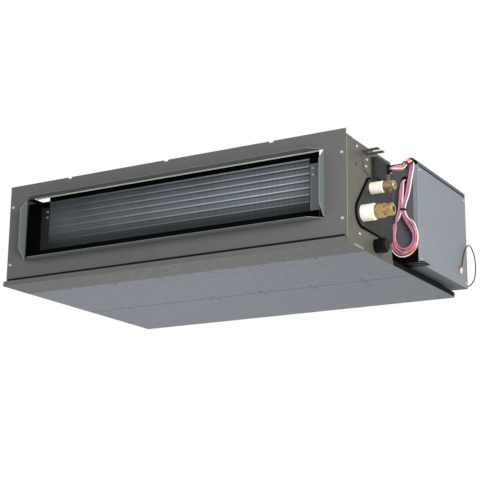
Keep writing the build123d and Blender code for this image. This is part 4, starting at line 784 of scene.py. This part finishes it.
class AIRCON_OT_seals(bpy.types.Operator):
    """Lay the foam round the coil, with painted shade at its foot and a strip of painted light at the slit
    over it, the painted shadow under the flange, and the painted shadows at the control box
    """
    bl_idname = "aircon.seals"
    bl_label = "Foam and seals"

    def execute(self, context):
        bars("coil_top_foam", "black_foam_skin", [
            ((-0.395, FIN_FACE, 0.2272), (COIL_END, FOAM_FACE, 0.2392)),
        ])
        # Painted light: a white foam strip stands for the light seen through the slit over the coil
        bars("coil_slit_foam", "white_foam_skin", [
            ((-0.440, FIN_FACE, 0.2394), (COIL_END, FOAM_FACE, 0.2424)),
        ])
        # Black foam at the coil's foot, also painted shade over the shaded bottom of the fins
        bars("coil_foot_foam", "black_foam_skin", [
            ((-0.419, FRONT + 0.0545, 0.0590), (COIL_END, FRONT + 0.0575, 0.1010)),
        ])
        bars("coil_end_foam", "black_foam_skin", [
            ((-0.463, FRONT + 0.0580, 0.0590), (-0.4225, FRONT + 0.0640, 0.2290)),
        ])
        # Painted shadow: a black strip for the shaded gap between the flange and the lip
        bars("lip_tape", "soft_black_rubber", [
            ((-0.470, FRONT - 0.0006, 0.0142), (0.470, FRONT - 0.0001, 0.0202)),
        ])
        # Painted shadow: a black strip on the box front, in the shade under the cable loop
        bars("box_front_pad", "black_foam_skin", [
            ((0.4440, 0.0003, 0.0195), (0.5080, 0.0022, 0.0560)),
        ])
        # Painted shadows: black strips for the shaded gap under the cover's rim and the shade under the box
        bars("box_seals", "soft_black_rubber", [
            ((BOX_COVER + 0.0001, BOX_FRONT + 0.004, 0.2606), (BOX_COVER + 0.0007, REAR - 0.004, 0.2634)),
            ((HALF_WIDTH + 0.0002, -0.072, 0.0022), (HALF_WIDTH + 0.0009, 0.312, 0.0132)),
        ])
        return {"FINISHED"}


class AIRCON_OT_electrics(bpy.types.Operator):
    """Finish what is inside the control box"""
    bl_idname = "aircon.electrics"
    bl_label = "Electrics"

    def execute(self, context):
        settings = context.scene.aircon_electrics
        dress(glass_cloth_board("board_laminate", settings.board), "circuit_board")
        dress(moulded_plastic("component_plastic", settings.component, 0.35, 0.001), "board_components",
              "terminal_block")
        dress(stove_enamel("transformer_iron", settings.iron), "transformer")
        return {"FINISHED"}


class AIRCON_OT_coil(bpy.types.Operator):
    """Finish the coil and stand its fin edges up from the pack"""
    bl_idname = "aircon.coil"
    bl_label = "Coil"

    def execute(self, context):
        settings = context.scene.aircon_coil
        dress(fin_depth_shade("fin_depth", settings.gap), "coil_fins")
        dress(drawn_copper("drawn_copper", settings.copper), "coil_tubes", "gas_pipe", "liquid_pipe")
        dress(turned_brass("turned_brass", settings.brass), "gas_union", "liquid_union")
        dress(bright_metal("ground_steel", context.scene.aircon_electrics.shaft), "fan_shaft")
        low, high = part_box("coil_fins")
        stock = fin_stock("fin_edges", settings)
        count = int((high.x - low.x) / settings.pitch)
        lean = Matrix.Rotation(-COIL_LEAN, 4, "X")
        form = bmesh.new()
        shape = Matrix.Diagonal((settings.thickness, EDGE_DEPTH, TUBE_ROWS * TUBE_PITCH - 0.0006, 1))
        behind = Matrix.Translation((0, SLAB_REAR, 0))
        for index in range(count):
            place = Matrix.Translation((low.x + (index + 0.5) * settings.pitch, COIL_MIDDLE.y, COIL_MIDDLE.z))
            bmesh.ops.create_cube(form, size=1, matrix=place @ lean @ behind @ shape)
        piece_from(form, "rear_fin_edges", stock)
        # Upright fin edges fill the outlet between the end plates, with the ridges that the tube rows press
        # into them and their painted highlights, on a dark web of painted shade that stands for the fin pack
        # behind them
        form = bmesh.new()
        for index in range(int((FIN_RIGHT - FIN_LEFT) / settings.pitch)):
            middle = FIN_LEFT + (index + 0.5) * settings.pitch
            bar(form, (middle - settings.thickness / 2, FIN_FACE + 0.0003, FIN_FOOT),
                (middle + settings.thickness / 2, FIN_FACE + 0.0014, FIN_HEAD))
        for row in range(RIDGE_COUNT):
            middle = RIDGE_LOWEST + row * RIDGE_PITCH
            bar(form, (FIN_LEFT, FIN_FACE, middle - RIDGE_HEIGHT / 2),
                (FIN_RIGHT, FIN_FACE + 0.0002, middle + RIDGE_HEIGHT / 2))
        piece_from(form, "front_fin_edges", stock)
        form = bmesh.new()
        bar(form, (FIN_LEFT, FIN_FACE + 0.0015, FIN_FOOT), (FIN_RIGHT, FIN_FACE + 0.0019, FIN_HEAD))
        piece_from(form, "front_fin_web", bpy.data.materials["fin_depth"])
        return {"FINISHED"}


class AIRCON_OT_screws(bpy.types.Operator):
    """Set the screws of the casing, the coil and the control box"""
    bl_idname = "aircon.screws"
    bl_label = "Screws"

    def execute(self, context):
        ahead = (0, -1, 0)
        screws("flange_screws", [((x, FRONT, z), ahead) for x in (-0.465, 0.465) for z in (0.056, 0.207)])
        screws("coil_plate_screws", [
            ((x, FRONT + 0.058, z), ahead) for x in (-0.400, 0.365) for z in (0.092, 0.186, 0.201)
        ], radius=0.0035)
        screws("hanger_screws", [
            ((end * HANGER_FACE, FRONT + 0.092 + along, z), (end, 0, 0))
            for end in (-1, 1) for along, z in ((0.012, 0.218), (0.006, 0.200))
        ])
        screws("side_screws", [
            ((end * HALF_WIDTH, FRONT + along, z), (end, 0, 0))
            for end in (-1, 1) for along, z in ((0.0645, 0.035), (0.056, 0.236))
        ])
        screws("rear_screws", [
            ((x, REAR, z), (0, 1, 0)) for x in (-0.469, 0.436) for z in (0.014, 0.236)
        ] + [
            ((x + step, REAR + 0.002, 0.226), (0, 1, 0)) for x in (-0.445, 0.412) for step in (-0.011, 0.011)
        ])
        screws("box_screws", [
            ((BOX_COVER, y, z), (1, 0, 0)) for y in (BOX_FRONT + 0.009, REAR - 0.009) for z in (0.031, 0.252)
        ])
        under = [(x, SEAM + step) for x in BOTTOM_COLUMNS for step in (-0.014, 0.014)]
        under += [(x, REAR - 0.009) for x in BOTTOM_COLUMNS]
        under += [(end * 0.470, FRONT + along) for end in (-1, 1) for along in (0.110, 0.215)]
        under += [(0.4655, FRONT + 0.006), (0.440, FRONT + 0.012)]
        screws("bottom_screws", [((x, y, SHEET), (0, 0, -1)) for x, y in under], radius=0.0032, height=0.0009)
        return {"FINISHED"}


class AIRCON_OT_side_details(bpy.types.Operator):
    """Lay the painted highlight along the fold and the bright patch at the right front corner, and the
    painted shade of the slot pressed in that side
    """
    bl_idname = "aircon.side_details"
    bl_label = "Right side"

    def execute(self, context):
        # Painted highlight: a strip of lighter steel along the right front fold
        bars("right_fold_edge", "galvanised_cover", [
            ((HALF_WIDTH + 0.0001, FRONT + 0.0012, 0.016), (HALF_WIDTH + 0.0004, FRONT + 0.0042, 0.244)),
        ])
        bars("corner_patch", "galvanised_cover", [
            ((HALF_WIDTH + 0.0002, FRONT + 0.034, 0.0015), (HALF_WIDTH + 0.0012, FRONT + 0.080, 0.0075)),
        ])
        # Painted shade: a black strip stands for the shade inside the slot
        bars("side_slot", "soft_black_rubber", [
            ((HALF_WIDTH + 0.0001, -0.2705, 0.1915), (HALF_WIDTH + 0.0005, -0.2645, 0.1945)),
        ])
        return {"FINISHED"}


class AIRCON_OT_sealant(bpy.types.Operator):
    """Run the bead of sealant along the lip"""
    bl_idname = "aircon.sealant"
    bl_label = "Sealant"

    def execute(self, context):
        form = bmesh.new()
        bmesh.ops.create_cone(form, segments=10, radius1=BEAD_RADIUS, radius2=BEAD_RADIUS, depth=BEAD_LENGTH,
                              cap_ends=True, matrix=Matrix.Rotation(math.pi / 2, 4, "Y"))
        long_edges = [edge for edge in form.edges if edge.calc_length() > BEAD_LENGTH / 2]
        bmesh.ops.subdivide_edges(form, edges=long_edges, cuts=BEAD_CUTS)
        for vert in form.verts:
            wave = math.sin(vert.co.x * 190) + 0.6 * math.sin(vert.co.x * 83 + 1)
            vert.co.z *= 1 + 0.25 * wave
            vert.co += Vector((0, FRONT - 0.0080, 0.0021 + 0.0002 * wave))
        sealant = moulded_plastic("sealant", context.scene.aircon_mouldings.sealant, 0.5, 0.002)
        piece_from(form, "lip_sealant", sealant, smooth=True)
        return {"FINISHED"}


class AIRCON_OT_stage(bpy.types.Operator):
    """Make the floor, the lamps and the pale world"""
    bl_idname = "aircon.stage"
    bl_label = "Stage"

    def execute(self, context):
        settings = context.scene.aircon_stage
        form = bmesh.new()
        bmesh.ops.create_grid(form, x_segments=1, y_segments=1, size=12,
                              matrix=Matrix.Translation((0, 0, -settings.floor_drop)))
        mesh = bpy.data.meshes.new("floor")
        form.to_mesh(mesh)
        form.free()
        # Painted floor with faint clouds
        material, tree, place = surface("pale_floor")
        cloud = add(tree, "ShaderNodeTexNoise", {"Vector": place, "Scale": 2.0})
        mixed = add(tree, "ShaderNodeMixRGB", {"Fac": cloud.outputs[0], "Color1": (0.86, 0.86, 0.86, 1),
                                               "Color2": (0.9, 0.9, 0.9, 1)})
        finished(material, (0.9, 0.9, 0.9), {"Base Color": mixed.outputs[0], "Roughness": 0.9})
        mesh.materials.append(material)
        floor = bpy.data.objects.new("floor", mesh)
        context.scene.collection.objects.link(floor)
        for name, place, power, width in (
            ("key_lamp", (2.4, -2.1, 0.4), settings.key, 1.4),
            ("back_lamp", (-1.8, 2.4, 1.6), settings.key * 0.7, 2.2),
            ("fill_lamp", (-2.4, -1.6, 0.6), settings.fill * 0.3, 2.0),
            ("low_lamp", (-0.3, 0.1, -0.9), settings.fill * 0.3, 1.2),
        ):
            light = bpy.data.lights.new(name, "AREA")
            light.energy = power
            light.size = width
            lamp = bpy.data.objects.new(name, light)
            aim = Vector((0, 0, 0.12)) - Vector(place)
            lamp.matrix_world = Matrix.Translation(place) @ aim.to_track_quat("-Z", "Y").to_matrix().to_4x4()
            context.scene.collection.objects.link(lamp)
        world = bpy.data.worlds.new("pale_world")
        world.use_nodes = True
        tree = world.node_tree
        tree.nodes.clear()
        rays = add(tree, "ShaderNodeLightPath")
        # The camera, metal and glass see white, and matt surfaces a weaker sky
        seen = add(tree, "ShaderNodeMath", {0: rays.outputs["Is Camera Ray"],
                                            1: rays.outputs["Is Glossy Ray"]}, operation="MAXIMUM")
        shown = add(tree, "ShaderNodeMath", {0: seen.outputs[0], 1: rays.outputs["Is Transmission Ray"]},
                    operation="MAXIMUM")
        strength = add(tree, "ShaderNodeMapRange", {"Value": shown.outputs[0], "To Min": settings.sky,
                                                    "To Max": 1.0})
        sky = add(tree, "ShaderNodeBackground", {"Color": (1, 1, 1, 1), "Strength": strength.outputs[0]})
        add(tree, "ShaderNodeOutputWorld", {"Surface": sky.outputs[0]})
        context.scene.world = world
        context.scene.view_settings.view_transform = "Standard"
        return {"FINISHED"}


class AIRCON_PT_pieces(bpy.types.Panel):
    """Sidebar panel with the settings and the steps"""
    bl_idname = "AIRCON_PT_pieces"
    bl_label = "Air conditioner"
    bl_space_type = "VIEW_3D"
    bl_region_type = "UI"
    bl_category = "Air conditioner"

    def draw(self, context):
        for group in GROUPS:
            settings = getattr(context.scene, group)
            column = self.layout.box().column()
            for name in settings.bl_rna.properties.keys():
                if name not in {"rna_type", "name"}:
                    column.prop(settings, name)
        for step in STEPS:
            self.layout.operator(step.bl_idname)


GROUPS = {
    "aircon_sheet": SheetSettings,
    "aircon_coil": CoilSettings,
    "aircon_mouldings": MouldingSettings,
    "aircon_electrics": ElectricsSettings,
    "aircon_cables": CableSettings,
    "aircon_stage": StageSettings,
}
STEPS = (
    AIRCON_OT_camera,
    AIRCON_OT_harness,
    AIRCON_OT_lead,
    AIRCON_OT_sheet_metal,
    AIRCON_OT_mouldings,
    AIRCON_OT_seals,
    AIRCON_OT_electrics,
    AIRCON_OT_coil,
    AIRCON_OT_screws,
    AIRCON_OT_side_details,
    AIRCON_OT_sealant,
    AIRCON_OT_stage,
)


def register():
    """Make the settings, the operators and the panel known to Blender."""
    for kind in (*GROUPS.values(), *STEPS, AIRCON_PT_pieces):
        bpy.utils.register_class(kind)
    for name, kind in GROUPS.items():
        setattr(bpy.types.Scene, name, PointerProperty(type=kind))


def unregister():
    """Take them away again, in the opposite order."""
    for name in GROUPS:
        delattr(bpy.types.Scene, name)
    for kind in reversed((*GROUPS.values(), *STEPS, AIRCON_PT_pieces)):
        bpy.utils.unregister_class(kind)


def main():
    """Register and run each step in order."""
    register()
    bpy.ops.aircon.camera()
    bpy.ops.aircon.harness()
    bpy.ops.aircon.lead()
    bpy.ops.aircon.sheet_metal()
    bpy.ops.aircon.mouldings()
    bpy.ops.aircon.seals()
    bpy.ops.aircon.electrics()
    bpy.ops.aircon.coil()
    bpy.ops.aircon.screws()
    bpy.ops.aircon.side_details()
    bpy.ops.aircon.sealant()
    bpy.ops.aircon.stage()


if __name__ == "__main__":
    main()
